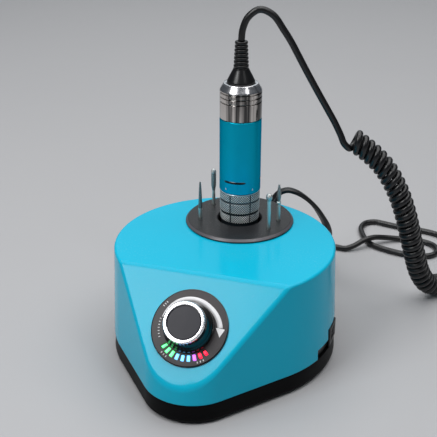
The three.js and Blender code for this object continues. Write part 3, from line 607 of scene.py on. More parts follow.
def anodised():
    """Bead-blasted, dyed aluminium: satin, with fine sparkle and a slow drift of the dye."""
    material, tree, shader = new_material("teal anodised aluminium", Metallic=1.0,
                                          Specular_Tint=(0.04, 0.32, 0.42, 1))
    tint = use(tree, DRIFT, Colour=rgb(14, 178, 210), Scale=30.0, Amount=0.06)["Colour"]
    tint = use(tree, WEAR, Colour=tint, Worn=rgb(190, 205, 210), Amount=0.45, Scale=420.0)["Colour"]
    skin = use(tree, GRAIN, Scale=4200.0, Roughness=0.42, Spread=0.05)
    coat(tree, shader, tint, skin["Roughness"])
    bump(tree, shader, skin["Height"], 0.22, 0.00003)
    return material


def light_bar(name, colour, strength=1.9):
    """A lit bar behind a frosted window, its glow drifting a little from place to place."""
    material, tree, shader = new_material(name, Roughness=0.3)
    tree.links.new(use(tree, DRIFT, Colour=colour, Scale=400.0, Amount=0.12)["Colour"],
                   shader.inputs["Base Color"])
    glow = use(tree, DRIFT, Colour=colour, Scale=700.0, Amount=0.3)["Colour"]
    tree.links.new(glow, shader.inputs["Emission Color"])
    shader.inputs["Emission Strength"].default_value = strength
    skin = use(tree, GRAIN, Scale=2500.0, Roughness=0.35, Spread=0.1)
    tree.links.new(skin["Roughness"], shader.inputs["Roughness"])
    bump(tree, shader, skin["Height"], 0.2, 0.00004)
    return material


def circuit_board():
    """Green solder mask with a web of paler tracks."""
    material, tree, shader = new_material("solder mask", Specular_IOR_Level=0.5)
    here = object_place(tree)
    tracks = node(tree, "ShaderNodeTexVoronoi", {"Vector": here, "Scale": 260.0},
                  feature="DISTANCE_TO_EDGE", distance="MANHATTAN")
    line = ramp(tree, tracks.outputs["Distance"], 0.05, 0.08, 1.0, 0.0)
    tint = mix_colour(tree, line, (0.008, 0.10, 0.03, 1), (0.03, 0.24, 0.07, 1))
    tree.links.new(use(tree, DRIFT, Colour=tint, Scale=60.0, Amount=0.1)["Colour"],
                   shader.inputs["Base Color"])
    skin = use(tree, GRAIN, Scale=900.0, Roughness=0.35, Spread=0.1)
    tree.links.new(skin["Roughness"], shader.inputs["Roughness"])
    bump(tree, shader, line, 0.4, 0.00005)
    return material


def grit(name, colour, scale=3200.0):
    """Diamond grit bonded to steel."""
    material, tree, shader = new_material(name, Metallic=1.0)
    here = object_place(tree)
    crystals = node(tree, "ShaderNodeTexVoronoi", {"Vector": here, "Scale": scale})
    fleck = ramp(tree, crystals.outputs["Distance"], 0.1, 0.7)
    tint = mix_colour(tree, fleck, (*[min(1, c * 1.35) for c in colour[:3]], 1),
                      (*[c * 0.55 for c in colour[:3]], 1))
    tree.links.new(tint, shader.inputs["Base Color"])
    tree.links.new(ramp(tree, crystals.outputs["Distance"], 0.0, 0.8, 0.3, 0.62), shader.inputs["Roughness"])
    bump(tree, shader, crystals.outputs["Distance"], 0.7, 0.00012)
    return material


CYAN = blue_gloss()
SKIRT = plastic("black satin skirt", rgb(5, 5, 6), 0.46, grain_scale=1800.0, grain=0.3, worn=rgb(40, 40, 43),
                wear=0.2, dust=0.03, Specular_IOR_Level=0.08)
PANEL = plastic("black moulded panel", rgb(17, 17, 19), 0.36, grain_scale=2200.0, grain=0.25,
                worn=rgb(72, 72, 76),
                wear=0.25, dust=0.15)
SATIN = plastic("satin black plate", rgb(26, 26, 29), 0.36, grain_scale=2600.0, grain=0.22, spread=0.05,
                worn=rgb(96, 96, 100), wear=0.3, dust=0.2)
# painted sheen: the plate's chamfer gets a paler grey than the satin black plate
PLATE_EDGE = plastic("plate edge painted sheen", rgb(88, 84, 88), 0.3, grain_scale=2600.0, grain=0.15, spread=0.05)
GLOSS_BLACK = plastic("gloss black knob", rgb(4, 4, 5), 0.12, grain_scale=500.0, grain=0.03, spread=0.03,
                      dust=0.03, Specular_IOR_Level=0.55)
FACE_GREY = plastic("brushed dark knob face", rgb(48, 48, 54), 0.42, grain_scale=3200.0, grain=0.3,
                    spread=0.05,
                    Specular_IOR_Level=0.22)
DIAL_GREY = plastic("satin dial film", rgb(62, 59, 61), 0.42, grain_scale=3000.0, grain=0.16, spread=0.05,
                    drift=0.05, dust=0.04, Specular_IOR_Level=0.25)
PRINT = plastic("pale screen print", rgb(226, 226, 228), 0.45, grain_scale=3600.0, grain=0.2, drift=0.05)
RUBBER = plastic("matt black rubber", rgb(20, 20, 21), 0.62, grain_scale=2400.0, grain=0.45, spread=0.1,
                 worn=rgb(66, 66, 68), wear=0.3, dust=0.35)
BOOT_RUBBER = plastic("smooth black rubber", rgb(18, 18, 20), 0.3, grain_scale=1500.0, grain=0.12,
                      spread=0.08,
                      worn=rgb(60, 60, 64), wear=0.2, dust=0.1)
CORD_BLACK = plastic("black cord jacket", rgb(18, 18, 20), 0.34, grain_scale=1300.0, grain=0.16, spread=0.1,
                     drift=0.2, dust=0.3)
CHROME = plating_with_painted_reflections()
RING = metal("bright satin ring", (0.93, 0.92, 0.95, 1), 0.2, lines=5000.0, depth=0.05, spread=0.05,
             marks=0.04)
STEEL = metal("bright turned steel", (0.62, 0.63, 0.65, 1), 0.24, lines=7000.0, depth=0.2, spread=0.14)
KNURL = knurled_steel()
SHANK = metal("ground steel shank", (0.66, 0.74, 0.72, 1), 0.5, lines=9000.0, depth=0.25, spread=0.14)
COPPER = metal("enamelled copper", (0.45, 0.20, 0.08, 1), 0.35, lines=3500.0, depth=0.7, spread=0.15)
TEAL = anodised()
BOARD = circuit_board()
GRIT_DARK = grit("grey diamond grit", rgb(148, 156, 156))
GRIT_FINE = grit("fine diamond grit", rgb(176, 182, 182), 4200.0)
TIP_PALE = grit("pale polished grit", rgb(232, 236, 234), 5200.0)
BARS = ([light_bar("lit bar green", rgb(96, 240, 140))] * 3
        + [light_bar("lit bar ice blue", rgb(110, 190, 255))] * 3
        + [light_bar("lit bar violet", rgb(190, 100,
                                           230))] + [light_bar("lit bar red", rgb(235, 36, 66))] * 2)


# ---------- plan of the box ----------
HALVINGS = 44            # halvings of a search along a ray: far finer than the mesh


def growth(z):
    """How far the leaning walls stand out from the plan at the top."""
    return DRAFT * (BOX_HEIGHT - z)


def plan_distance(x, y, grow):
    """Signed distance from the outline round the back arc and the nose arc."""
    px, py = np.abs(x), -(y - BACK_Y)
    r1, r2, h = BACK_RADIUS + grow, NOSE_RADIUS + grow, BACK_Y - NOSE_Y
    b = (r1 - r2) / h
    a = np.sqrt(1 - b * b)
    k = -b * px + a * py
    side = a * px + b * py - r1
    back = np.hypot(px, py) - r1
    nose = np.hypot(px, py - h) - r2
    return np.where(k < 0, back, np.where(k > a * h, nose, side))


def plan_outline(spacing=0.7, centre=(0.0, AXIS_Y), special=()):
    """Angles about a centre, even along the outline, with the special ones among them."""
    ang = np.linspace(0, 2 * math.pi, 4001)
    reach = plan_reach(ang, centre, np.zeros_like(ang))
    pts = np.stack([reach * np.cos(ang), reach * np.sin(ang)], 1)
    along = np.concatenate([[0], np.cumsum(np.linalg.norm(np.diff(pts, axis=0), axis=1))])
    count = int(along[-1] / spacing)
    even_ang = np.interp(np.linspace(0, along[-1], count, endpoint=False), along, ang)
    for s in special:
        s = s % (2 * math.pi)
        even_ang[np.argmin(np.abs(even_ang - s))] = s
    return np.sort(even_ang)


def plan_reach(ang, centre, grow):
    """Distance from a centre to the outline along each angle."""
    low, high = np.zeros_like(ang), np.full_like(ang, 260.0)
    c, s = np.cos(ang), np.sin(ang)
    for _ in range(HALVINGS):
        mid = (low + high) / 2
        outside = plan_distance(centre[0] + mid * c, centre[1] + mid * s, grow) > 0
        low, high = np.where(outside, low, mid), np.where(outside, mid, high)
    return (low + high) / 2


FACET_OUT = np.array([0.0, -math.sin(FACET_TILT), math.cos(FACET_TILT)])
FACET_UP = np.array([0.0, math.cos(FACET_TILT), math.sin(FACET_TILT)])
CREASE = np.array([0.0, CREASE_Y, BOX_HEIGHT])
DIAL_CENTRE = CREASE - DIAL_DOWN_SLOPE * FACET_UP
ON_DIAL = Matrix([
    [1, 0, 0, DIAL_CENTRE[0] * MM],
    [0, FACET_UP[1], FACET_OUT[1], DIAL_CENTRE[1] * MM],
    [0, FACET_UP[2], FACET_OUT[2], DIAL_CENTRE[2] * MM],
    [0, 0, 0, 1]])


def round_max(a, b, r):
    """The larger of two distances, with the edge where they meet rounded to radius r."""
    return np.hypot(np.maximum(a + r, 0), np.maximum(b + r, 0)) + np.minimum(-r, np.maximum(a, b))


def shell_field(p, inset=0.0):
    """Below zero inside the shell's outer skin; inset gives its inner skin."""
    x, y, z = p
    wall = plan_distance(x, y, growth(z)) + inset
    top = z - BOX_HEIGHT + inset
    facet = (y - CREASE[1]) * FACET_OUT[1] + (z - CREASE[2]) * FACET_OUT[2] + inset
    top_round, facet_round = (1.5, 1.5) if inset == 0 else (1.0, 1.0)
    body = round_max(wall, top, top_round)
    body = round_max(body, facet, facet_round)
    if inset == 0:
        body = round_max(body, SHELL_FOOT - z, 0.5)
    return body


def skin_point(centre, direction, inset=0.0, reach=160.0):
    """Where rays from inside meet the skin. centre: (3, ...) points; direction: (3, ...) unit vectors."""
    low = np.zeros(direction.shape[1:])
    high = np.full(direction.shape[1:], reach)
    for _ in range(HALVINGS):
        mid = (low + high) / 2
        outside = shell_field(centre + mid * direction, inset) > 0
        low, high = np.where(outside, low, mid), np.where(outside, mid, high)
    return centre + (low + high) / 2 * direction


# the stepped cut-out round the back, as angles about the back arc's centre
LOW_CUT, LOW_TOP = (-20.0, 200.0), 20.0
HIGH_CUT, HIGH_TOP = (-8.5, 188.5), 27.0
WELL_HOLE = 15.9
DIAL_HOLE = 21.4
FACET_NEAR = 1.5         # a point this close to the facet's plane is on the facet


def cut_angle(deg):
    """Angle about the handpiece axis of a place on the wall given by its angle about the back arc."""
    a = math.radians(deg)
    r = BACK_RADIUS + growth(20)
    return math.atan2(BACK_Y + r * math.sin(a) - AXIS_Y, r * math.cos(a))


def build_shell():
    """The blue cover: leaning walls, flat top, sloped facet with rounded borders, stepped rear cut-out."""
    special = [cut_angle(d) for d in (*LOW_CUT, *HIGH_CUT)]
    theta = plan_outline(0.62, special=special)
    cols = len(theta)
    c, s = np.cos(theta), np.sin(theta)
    foot_rows = SHELL_FOOT + 0.5 * (1 - np.cos(np.linspace(0, math.pi / 2, 4)))
    low_z = np.concatenate([foot_rows, np.linspace(15, LOW_TOP, 5), np.linspace(LOW_TOP, HIGH_TOP, 7)[1:]])

    def fan_direction(phi):
        return np.stack([np.cos(phi) * c, np.cos(phi) * s, np.sin(phi) + 0 * c])

    def centre_at(z):
        return np.stack([0 * z, 0 * z + AXIS_Y, z])

    flat = np.stack([c, s, 0 * c])
    # upper rows: more where the surface turns, the same share of rows for every column
    fine, bend_share, least_share = 520, 0.42, 0.0015
    top_phi = np.arctan2(BOX_HEIGHT - HIGH_TOP, WELL_HOLE)
    phi = np.linspace(0, top_phi, fine)[:, None] * np.ones(cols)
    mid = centre_at(np.full((fine, cols), HIGH_TOP))
    scan = skin_point(mid, fan_direction(phi))
    step = np.diff(scan, axis=1)
    size = np.linalg.norm(step, axis=0)
    unit = step / np.maximum(size, 1e-9)
    bend = np.arccos(np.clip((unit[:, 1:] * unit[:, :-1]).sum(0), -1, 1))
    weight = size / size.sum(0) + least_share
    weight[1:] += bend_share * bend
    weight[:-1] += bend_share * bend
    weight = np.apply_along_axis(smoothed, 0, weight)
    share = np.vstack([np.zeros(cols), np.cumsum(weight, axis=0)])
    share /= share[-1]
    rows_up, inner_gap = 96, 0.0002
    target = np.linspace(0, 1, rows_up + 1)[1:]
    chosen = np.stack([np.interp(target, share[:, j], phi[:, j]) for j in range(cols)], 1)
    rows = len(low_z) + rows_up

    def skin(inset):
        layers = [skin_point(centre_at(np.full(cols, z)), flat, inset) for z in low_z]
        upper_phi = chosen if inset == 0 else chosen_inner
        upper = skin_point(centre_at(np.full((rows_up, cols), HIGH_TOP)), fan_direction(upper_phi), inset)
        grid = np.concatenate([np.stack(layers, 1), upper], axis=1)
        return np.moveaxis(grid, 0, -1)

    chosen_inner = chosen.copy()
    chosen_inner[-1] = np.arctan2(BOX_HEIGHT - SHELL_WALL - HIGH_TOP, WELL_HOLE)
    below_last = inner_gap * np.arange(rows_up - 1, 0, -1)[:, None]
    chosen_inner[:-1] = np.minimum(chosen[:-1], chosen_inner[-1] - below_last)
    outer, inner = skin(0.0), skin(SHELL_WALL)

    faces = grid_faces(rows, cols)
    mid_face = outer.reshape(-1, 3)[faces].mean(1)
    around = np.degrees(np.arctan2(mid_face[:, 1] - BACK_Y, mid_face[:, 0]))
    around = np.where(around < -90, around + 360, around)
    in_low = (around > LOW_CUT[0]) & (around < LOW_CUT[1]) & (mid_face[:, 2] < LOW_TOP)
    in_high = (around > HIGH_CUT[0]) & (around < HIGH_CUT[1]) & (mid_face[:, 2] < HIGH_TOP)
    from_dial = mid_face - DIAL_CENTRE
    lift = from_dial @ FACET_OUT
    radial = np.hypot(from_dial[:, 0], from_dial @ FACET_UP)
    in_dial = (radial < DIAL_HOLE) & (np.abs(lift) < FACET_NEAR)
    keep = faces[~(in_low | in_high | in_dial)]

    outer, inner = outer.reshape(-1, 3), inner.reshape(-1, 3)
    edges = {}
    for f in keep:
        for k in range(4):
            a, b = int(f[k]), int(f[(k + 1) % 4])
            if edges.pop((b, a), None) is None:
                edges[(a, b)] = True
    rim = list(edges)
    # the hole under the dial is made truly round: its rim points move onto one circle on both skins
    rel = outer - DIAL_CENTRE
    across, up_slope = rel[:, 0], rel @ FACET_UP
    on_rim = np.zeros(len(outer), bool)
    on_rim[[v for e in rim for v in e]] = True
    round_rim = on_rim & (np.abs(rel @ FACET_OUT) < FACET_NEAR) & (np.hypot(across, up_slope) < DIAL_HOLE + 2)
    turn = np.arctan2(up_slope, across)[round_rim]
    sideways = np.array([1.0, 0, 0])
    circle = DIAL_CENTRE + DIAL_HOLE * (np.cos(turn)[:, None] * sideways + np.sin(turn)[:, None] * FACET_UP)
    outer[round_rim] = circle
    inner[round_rim] = circle - SHELL_WALL * FACET_OUT

    used = np.unique(keep)
    index = np.full(len(outer), -1)
    index[used] = np.arange(len(used))
    n = len(used)
    skin_faces = index[keep]
    inner_faces = skin_faces[:, ::-1] + n
    rim_faces = [(index[b], index[a], index[a] + n, index[b] + n) for a, b in rim]
    verts = np.vstack([outer[used], inner[used]])
    cover = new_piece("cyan_cover", verts, [*map(tuple, skin_faces), *map(tuple, inner_faces), *rim_faces],
                      CYAN)
    smooth_by_angle(cover, 40)
    gland = drum("gland cut", 5.1, -20, 20, 40, along(GLAND_FOOT, GLAND_TIP))
    carve(cover, [gland])
    smooth_by_angle(cover, 40)
    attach(cover, "root")
    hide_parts("upper_shell")
    return cover


# ---------- small solids used to cut or build ----------
def drum(name, radius, z0, z1, segments=48, matrix=None, material=None):
    """A short cylinder with a closed top and bottom."""
    return lathe(name, [(0, z0), (radius, z0), (radius, z1), (0, z1)], material or PANEL, segments,
                 matrix=matrix)


def block(name, x0, x1, y0, y1, z0, z1, matrix=None, material=None):
    verts = [(x, y, z) for z in (z0, z1) for y in (y0, y1) for x in (x0, x1)]
    faces = [(0, 2, 3, 1), (4, 5, 7, 6), (0, 1, 5, 4), (2, 6, 7, 3), (0, 4, 6, 2), (1, 3, 7, 5)]
    piece = new_piece(name, verts, faces, material or PANEL, smooth=False)
    if matrix is not None:
        place(piece, matrix)
    return piece


def shift(x, y, z=0):
    return Matrix.Translation(Vector((x, y, z)) * MM)


def along(foot, tip):
    """Turns +Z onto the line from foot to tip, and stands it on foot. Points in mm, matrix in metres."""
    way = Vector(tip) - Vector(foot)
    turn = Vector((0, 0, 1)).rotation_difference(way.normalized()).to_matrix().to_4x4()
    return Matrix.Translation(Vector(foot) * MM) @ turn


def out_of_back(deg, radius, z):
    """Turns +Z so that it points out of the back wall at an angle: x becomes down, y along the wall."""
    a = math.radians(deg)
    spot = Vector((radius * math.cos(a), BACK_Y + radius * math.sin(a), z)) * MM
    return Matrix.Translation(spot) @ Matrix.Rotation(a, 4, "Z") @ Matrix.Rotation(math.pi / 2, 4, "Y")


def loft(name, levels, cols_spacing, material, close_top=True, close_bottom=True):
    """A solid through plan outlines: levels are (growth, z), from the bottom's middle round to the top's."""
    theta = plan_outline(cols_spacing, centre=(0.0, BACK_Y))
    c, s = np.cos(theta), np.sin(theta)
    cols = len(theta)
    rings = []
    for grow, z in levels:
        r = plan_reach(theta, (0.0, BACK_Y), np.full(cols, float(grow)))
        rings.append(np.stack([r * c, BACK_Y + r * s, np.full(cols, float(z))], 1))
    verts = np.concatenate(rings)
    faces = [tuple(f) for f in grid_faces(len(levels), cols)]
    if close_bottom:
        low = len(verts)
        verts = np.vstack([verts, (0, BACK_Y, levels[0][1])])
        faces += [(low, (j + 1) % cols, j) for j in range(cols)]
    if close_top:
        high = len(verts)
        verts = np.vstack([verts, (0, BACK_Y, levels[-1][1])])
        last = (len(levels) - 1) * cols
        faces += [(high, last + j, last + (j + 1) % cols) for j in range(cols)]
    return new_piece(name, verts, faces, material)


SCREW_SPOTS = ((0, NOSE_Y - 4), (-46, BACK_Y), (46, BACK_Y), (0, BACK_Y + 52))
FOOT_SPOTS = (("foot_front_left", -17, NOSE_Y + 10), ("foot_front_right", 17, NOSE_Y + 10),
              ("foot_rear_left", -44, BACK_Y + 22), ("foot_rear_right", 44, BACK_Y + 22))
SCREWS = ("case_screw_front", "case_screw_left", "case_screw_right", "case_screw_rear")


def build_skirt():
    """The black base: a shallow tray whose wall carries on the cover's lean, with a rounded lower edge."""
    top = 13.0
    outside = [(growth(1.5) - 2.4, 1.5)]
    for a in np.linspace(0, math.pi / 2, 7):
        outside.append((growth(1.5) - 2.4 + 1.9 * math.sin(a), 1.5 + 1.9 * (1 - math.cos(a))))
    outside += [(growth(z) - 0.5, z) for z in (6, 9, 12.4)]
    outside += [(growth(12.8) - 0.55, 12.8), (growth(13) - 0.8, top), (growth(13) - 4.6, top),
                (growth(13) - 4.75, top + 0.2), (growth(13) - 4.8, 14.5), (growth(13) - 5.9, 14.5)]
    floor = [(growth(13) - 6.0, 14.3), (growth(13) - 6.0, 5.2), (growth(13) - 6.6, 4.1),
             (growth(13) - 7.6, 3.9)]
    tray = loft("black_base", outside + floor, 0.9, SKIRT)
    cutters = []
    bosses = [drum("boss", 5.2, 2.6, 9.5, 40, shift(x, y)) for x, y in SCREW_SPOTS]
    carve(tray, bosses, "UNION")
    for x, y in SCREW_SPOTS:
        spot = shift(x, y)
        cutters.append(lathe("screw cut", [(0, -1), (3.7, -1), (3.7, 1.6), (3.3, 2.0), (3.3, 5.5),
                                           (1.8, 5.5), (1.8, 20),
                                           (0, 20)], SKIRT, 48, matrix=spot))
    for _, x, y in FOOT_SPOTS:
        cutters.append(drum("foot cut", 5.3, -1, 2.5, 56, shift(x, y)))
    carve(tray, cutters)
    smooth_by_angle(tray, 36)
    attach(tray, "root")
    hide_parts("base_tray")


def build_feet():
    """Four domed rubber feet with a moulded ring, and the cross-head screws in their recesses."""
    for name, x, y in FOOT_SPOTS:
        outline = fillet([(0, 0.25), (1.4, 0.25), (1.9, 0.02), (4.2, 0.02), (4.95, 0.7), (4.95, 2.2),
                          (0, 2.2)], 0.25, 3)
        foot = lathe("rubber_" + name, outline, RUBBER, 64, centre=(x, y))
        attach(foot, "root")
        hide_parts(name)
    for name, (x, y) in zip(SCREWS, SCREW_SPOTS):
        outline = [(0, 3.2), (1.7, 3.2), (2.7, 3.45), (3.0, 3.9), (3.0, 5.2), (1.5, 5.2)]
        for k in range(16):
            outline += [(1.5, 5.5 + k * 0.5), (1.24, 5.75 + k * 0.5)]
        outline += [(0.9, 14.0), (0, 14.6)]
        screw = lathe("thread_" + name, outline, STEEL, 36, centre=(x, y))
        cross = [block("cross", -a, a, -b, b, 2.6, 4.5, shift(x, y))
                 for a, b in ((1.7, 0.32), (0.32, 1.7))]
        carve(screw, cross)
        smooth_by_angle(screw, 30)
        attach(screw, "root")
        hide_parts(name)


# ---------- rear panel, sockets, switch ----------
PANEL_OUTER = BACK_RADIUS + 0.2
PANEL_INNER = PANEL_OUTER - 2.2
SOCKET_Z = 20.0
HANDPIECE_DEG, PEDAL_DEG, SWITCH_DEG = 75.0, 90.0, -0.5
GLAND_FOOT, GLAND_TIP = (5, AXIS_Y + 34.2, 44), (8, AXIS_Y + 48, 61)


def sector(name, r0, r1, deg0, deg1, z0, z1, steps, material):
    """A curved block of the back wall."""
    ang = np.radians(np.linspace(deg0, deg1, steps))
    ring = [(r0, z0), (r1, z0), (r1, z1), (r0, z1)]
    verts = [(r * math.cos(a), BACK_Y + r * math.sin(a), z) for a in ang for r, z in ring]
    faces = [tuple(f[::-1]) for f in grid_faces(steps, 4)]
    last = (steps - 1) * 4
    faces += [(0, 1, 2, 3), (last + 3, last + 2, last + 1, last)]
    piece = new_piece(name, verts, faces, material)
    fix_normals(piece)
    return piece


def rides(piece, body, replaced):
    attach(piece, body)
    if replaced:
        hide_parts(*([replaced] if isinstance(replaced, str) else replaced))
    return piece


def build_rear():
    """Curved panel in the cut-out, with the handpiece socket, the pedal jack and the direction switch."""
    panel = sector("rear_wall", PANEL_INNER, PANEL_OUTER, LOW_CUT[0] + 0.4, LOW_CUT[1] - 0.4, SHELL_FOOT,
                   HIGH_TOP - 0.3, 221, PANEL)
    step = LOW_TOP - 0.3
    cutters = [
        sector("step", 55, 80, LOW_CUT[0] - 5, HIGH_CUT[0] + 0.4, step, 50, 9, PANEL),
        sector("step", 55, 80, HIGH_CUT[1] - 0.4, LOW_CUT[1] + 5, step, 50, 9, PANEL),
        drum("bore", 5.5, -20, 20, 64, out_of_back(HANDPIECE_DEG, PANEL_OUTER, SOCKET_Z)),
        drum("bore", 5.1, -20, 20, 64, out_of_back(PEDAL_DEG, PANEL_OUTER, SOCKET_Z)),
        block("window", -5.3, 5.3, -7.3, 7.3, -20, 20, out_of_back(SWITCH_DEG, PANEL_OUTER, SOCKET_Z))]
    carve(panel, cutters)
    soften(panel, 0.3)
    rides(panel, "root", "rear_panel")

    collar = fillet([(3.4, -12), (5.2, -12), (5.2, 0.3), (6.2, 0.3), (6.2, 2.0), (5.7, 2.4), (4.2, 2.4),
                     (3.4, 1.7),
                     (3.4, -12)], 0.25, 3)
    rides(lathe("handpiece_jack_ring", collar, SATIN, 72,
                matrix=out_of_back(HANDPIECE_DEG, PANEL_OUTER, SOCKET_Z)),
          "root", "handpiece_socket")
    collar = fillet([(3.2, -12), (4.8, -12), (4.8, 0.3), (5.8, 0.3), (5.8, 1.9), (5.3, 2.4), (3.9, 2.4),
                     (3.2, 1.8),
                     (3.2, -12)], 0.22, 3)
    rides(lathe("pedal_jack_ring", collar, STEEL, 72, matrix=out_of_back(PEDAL_DEG, PANEL_OUTER, SOCKET_Z)),
          "root", "pedal_socket")

    at_switch = out_of_back(SWITCH_DEG, PANEL_OUTER, SOCKET_Z)
    housing = block("switch_frame", -5, 5, -7, 7, -11, 1, at_switch)
    carve(housing, [block("flange", -6, 6, -8, 8, 0.7, 2.2, at_switch)], "UNION")
    carve(housing, [block("bay", -3.8, 3.8, -5.8, 5.8, -6, 5, at_switch)])
    soften(housing, 0.35, 3)
    rides(housing, "root", "switch_housing")
    half, thick = 5.3, 3.4
    outline = [(-half, 0.2), (-half * 0.3, -3.4), (half * 0.3, -3.4), (half, 0.2), (half, 2.2)]
    outline += [(half * t, 1.2 + t * t * 1.0) for t in (0.8, 0.6, 0.4, 0.2, 0.0)]
    outline += [(-half * t, 1.2 + t * t * 1.0) for t in (0.2, 0.4, 0.6, 0.8, 1.0)]
    n = len(outline)
    verts = [(x, y, z) for x in (-thick, thick) for y, z in outline]
    faces = [(j, (j + 1) % n, n + (j + 1) % n, n + j) for j in range(n)]
    faces += [tuple(range(n))[::-1], tuple(range(n, 2 * n))]
    key = new_piece("rocker_key", verts, faces, SATIN)
    place(key, at_switch)
    ridges = []
    for y in (-3.9, -3.1, 3.1, 3.9):
        ridges.append(block("ridge", -2.4, 2.4, y - 0.18, y + 0.18, 1.2, 2.0, at_switch))
    carve(key, ridges, "UNION")
    soften(key, 0.22, 2)
    rides(key, "rocker", "direction_rocker")


# ---------- dial, light bars and knob ----------
def polar_strip(name, angles, inner, outer, z0, z1, material):
    """A thin flat graphic on the dial between an inner and an outer radius, closed all round."""
    a = np.radians(angles)
    rows = []
    for r, z in ((inner, z0), (outer, z0), (outer, z1), (inner, z1)):
        rows.append(np.stack([r * np.cos(a), r * np.sin(a), np.full_like(a, z)], 1))
    verts = np.concatenate(rows)
    n = len(a)
    faces = []
    for k in range(4):
        m = (k + 1) % 4
        faces += [(k * n + j, k * n + j + 1, m * n + j + 1, m * n + j) for j in range(n - 1)]
    faces += [(0, n, 2 * n, 3 * n), (4 * n - 1, 3 * n - 1, 2 * n - 1, n - 1)]
    piece = new_piece(name, verts, faces, material)
    fix_normals(piece)
    return piece


def flat_shape(name, points, z0, z1, material):
    """A thin flat plate with the given outline."""
    n = len(points)
    verts = [(x, y, z) for z in (z0, z1) for x, y in points]
    faces = [tuple(range(n))[::-1], tuple(range(n, 2 * n))]
    faces += [(j, (j + 1) % n, n + (j + 1) % n, n + j) for j in range(n)]
    piece = new_piece(name, verts, faces, material, smooth=False)
    fix_normals(piece)
    return piece


LED_RADIUS = 17.4
LED_FIRST, LED_LAST, LED_COUNT = 225.6, 314.5, 9
LED_ANGLES = [LED_FIRST + (LED_LAST - LED_FIRST) * i / (LED_COUNT - 1) for i in range(LED_COUNT)]


def on_led(i):
    return ON_DIAL @ Matrix.Rotation(math.radians(LED_ANGLES[i]), 4, "Z")


# each light bar: inner end, outer end from the bars' circle, half width, and how far the inner end narrows
BAR_SHAPES = ((-1.8, 1.5, 0.72, 0.45), (-1.8, 1.7, 0.88, 0.6), (-1.8, 1.8, 0.92, 0.75),
              (-1.5, 1.8, 0.92, 0.9),
              (-1.5, 1.8, 0.92, 0.9), (-1.6, 1.8, 0.92, 0.9), (-1.7, 1.5, 0.92, 0.9), (-1.6, 1.1, 0.88, 0.9),
              (-1.2, 0.9, 0.85, 0.9))
# plain printed ticks: radius, first and last angle, how many
TICK_ROWS = ((17.9, 172.0, 206.0, 7), (20.6, 232.0, 242.0, 3), (20.7, 296.0, 306.0, 3),
             (20.4, 142.0, 150.0, 3))


def build_dial():
    """Grey dial disc with a rim line, nine light windows, and a tapering arrow that curls round the knob."""
    outline = fillet([(4.4, 0.3), (22.6, 0.3), (22.6, 0.85), (22.15, 1.2), (4.4, 1.2), (4.4, 0.3)], 0.08, 2)
    disc = lathe("dial_disc", outline, DIAL_GREY, 160, matrix=ON_DIAL)
    windows = [block("window", LED_RADIUS - 1.95, LED_RADIUS + 1.95, -1.1, 1.1, -3, 3,
                     on_led(i)) for i in range(LED_COUNT)]
    carve(disc, windows)
    smooth_by_angle(disc, 30)
    rides(disc, "root", "dial_plate")
    rim = lathe("dial_rim_line", fillet([(22.0, 1.19), (22.45, 1.0), (22.45, 1.06), (22.0, 1.26),
                                         (22.0, 1.19)], 0.02, 2),
                GLOSS_BLACK, 160, matrix=ON_DIAL)
    rides(rim, "root", None)
    for i in range(LED_COUNT):
        inner_end, outer_end, half_width, lean = BAR_SHAPES[i]
        bar = block("light_bar_%d" % (i + 1), LED_RADIUS + inner_end, LED_RADIUS + outer_end, -half_width,
                    half_width,
                    -3.2, 1.12, None, BARS[i])
        for vert in bar.data.vertices:
            if vert.co.x < LED_RADIUS * MM:
                vert.co.y *= lean
        place(bar, on_led(i))
        soften(bar, 0.22, 3)
        rides(bar, "root", "led_bar_%d" % (i + 1))

    for row, (radius, first, last, count) in enumerate(TICK_ROWS):
        for k, angle in enumerate(np.linspace(first, last, count)):
            tick = polar_strip("dial_tick_%d_%d" % (row + 1, k + 1), np.linspace(angle - 0.8, angle + 0.8, 3),
                               np.full(3, radius - 0.55), np.full(3, radius + 0.55), 1.18, 1.24, PRINT)
            place(tick, ON_DIAL)
            rides(tick, "root", None)

    known = np.array([168, 146, 127, 104, 80, 58, 38, 21, 8.0])
    outer = np.array([17.7, 18.1, 18.35, 18.1, 17.8, 17.6, 18.1, 18.8, 19.4])
    inner = np.array([17.2, 16.7, 16.2, 15.6, 15.1, 14.8, 15.1, 15.8, 16.4])
    angles = np.linspace(168, 8, 90)
    r_out = np.interp(angles[::-1], known[::-1], outer[::-1])[::-1]
    r_in = np.interp(angles[::-1], known[::-1], inner[::-1])[::-1]
    sweep = polar_strip("speed_arrow_sweep", angles, smoothed(r_in), smoothed(r_out), 1.18, 1.25, PRINT)
    place(sweep, ON_DIAL)
    rides(sweep, "root", None)
    head = flat_shape("speed_arrow_head", [(15.2, 2.3), (18.4, -2.7), (20.5, 2.1), (19.5, 2.3), (17.7, 2.3),
                                           (16.3, 2.4)],
                      1.18, 1.26, PRINT)
    place(head, ON_DIAL)
    rides(head, "root", None)


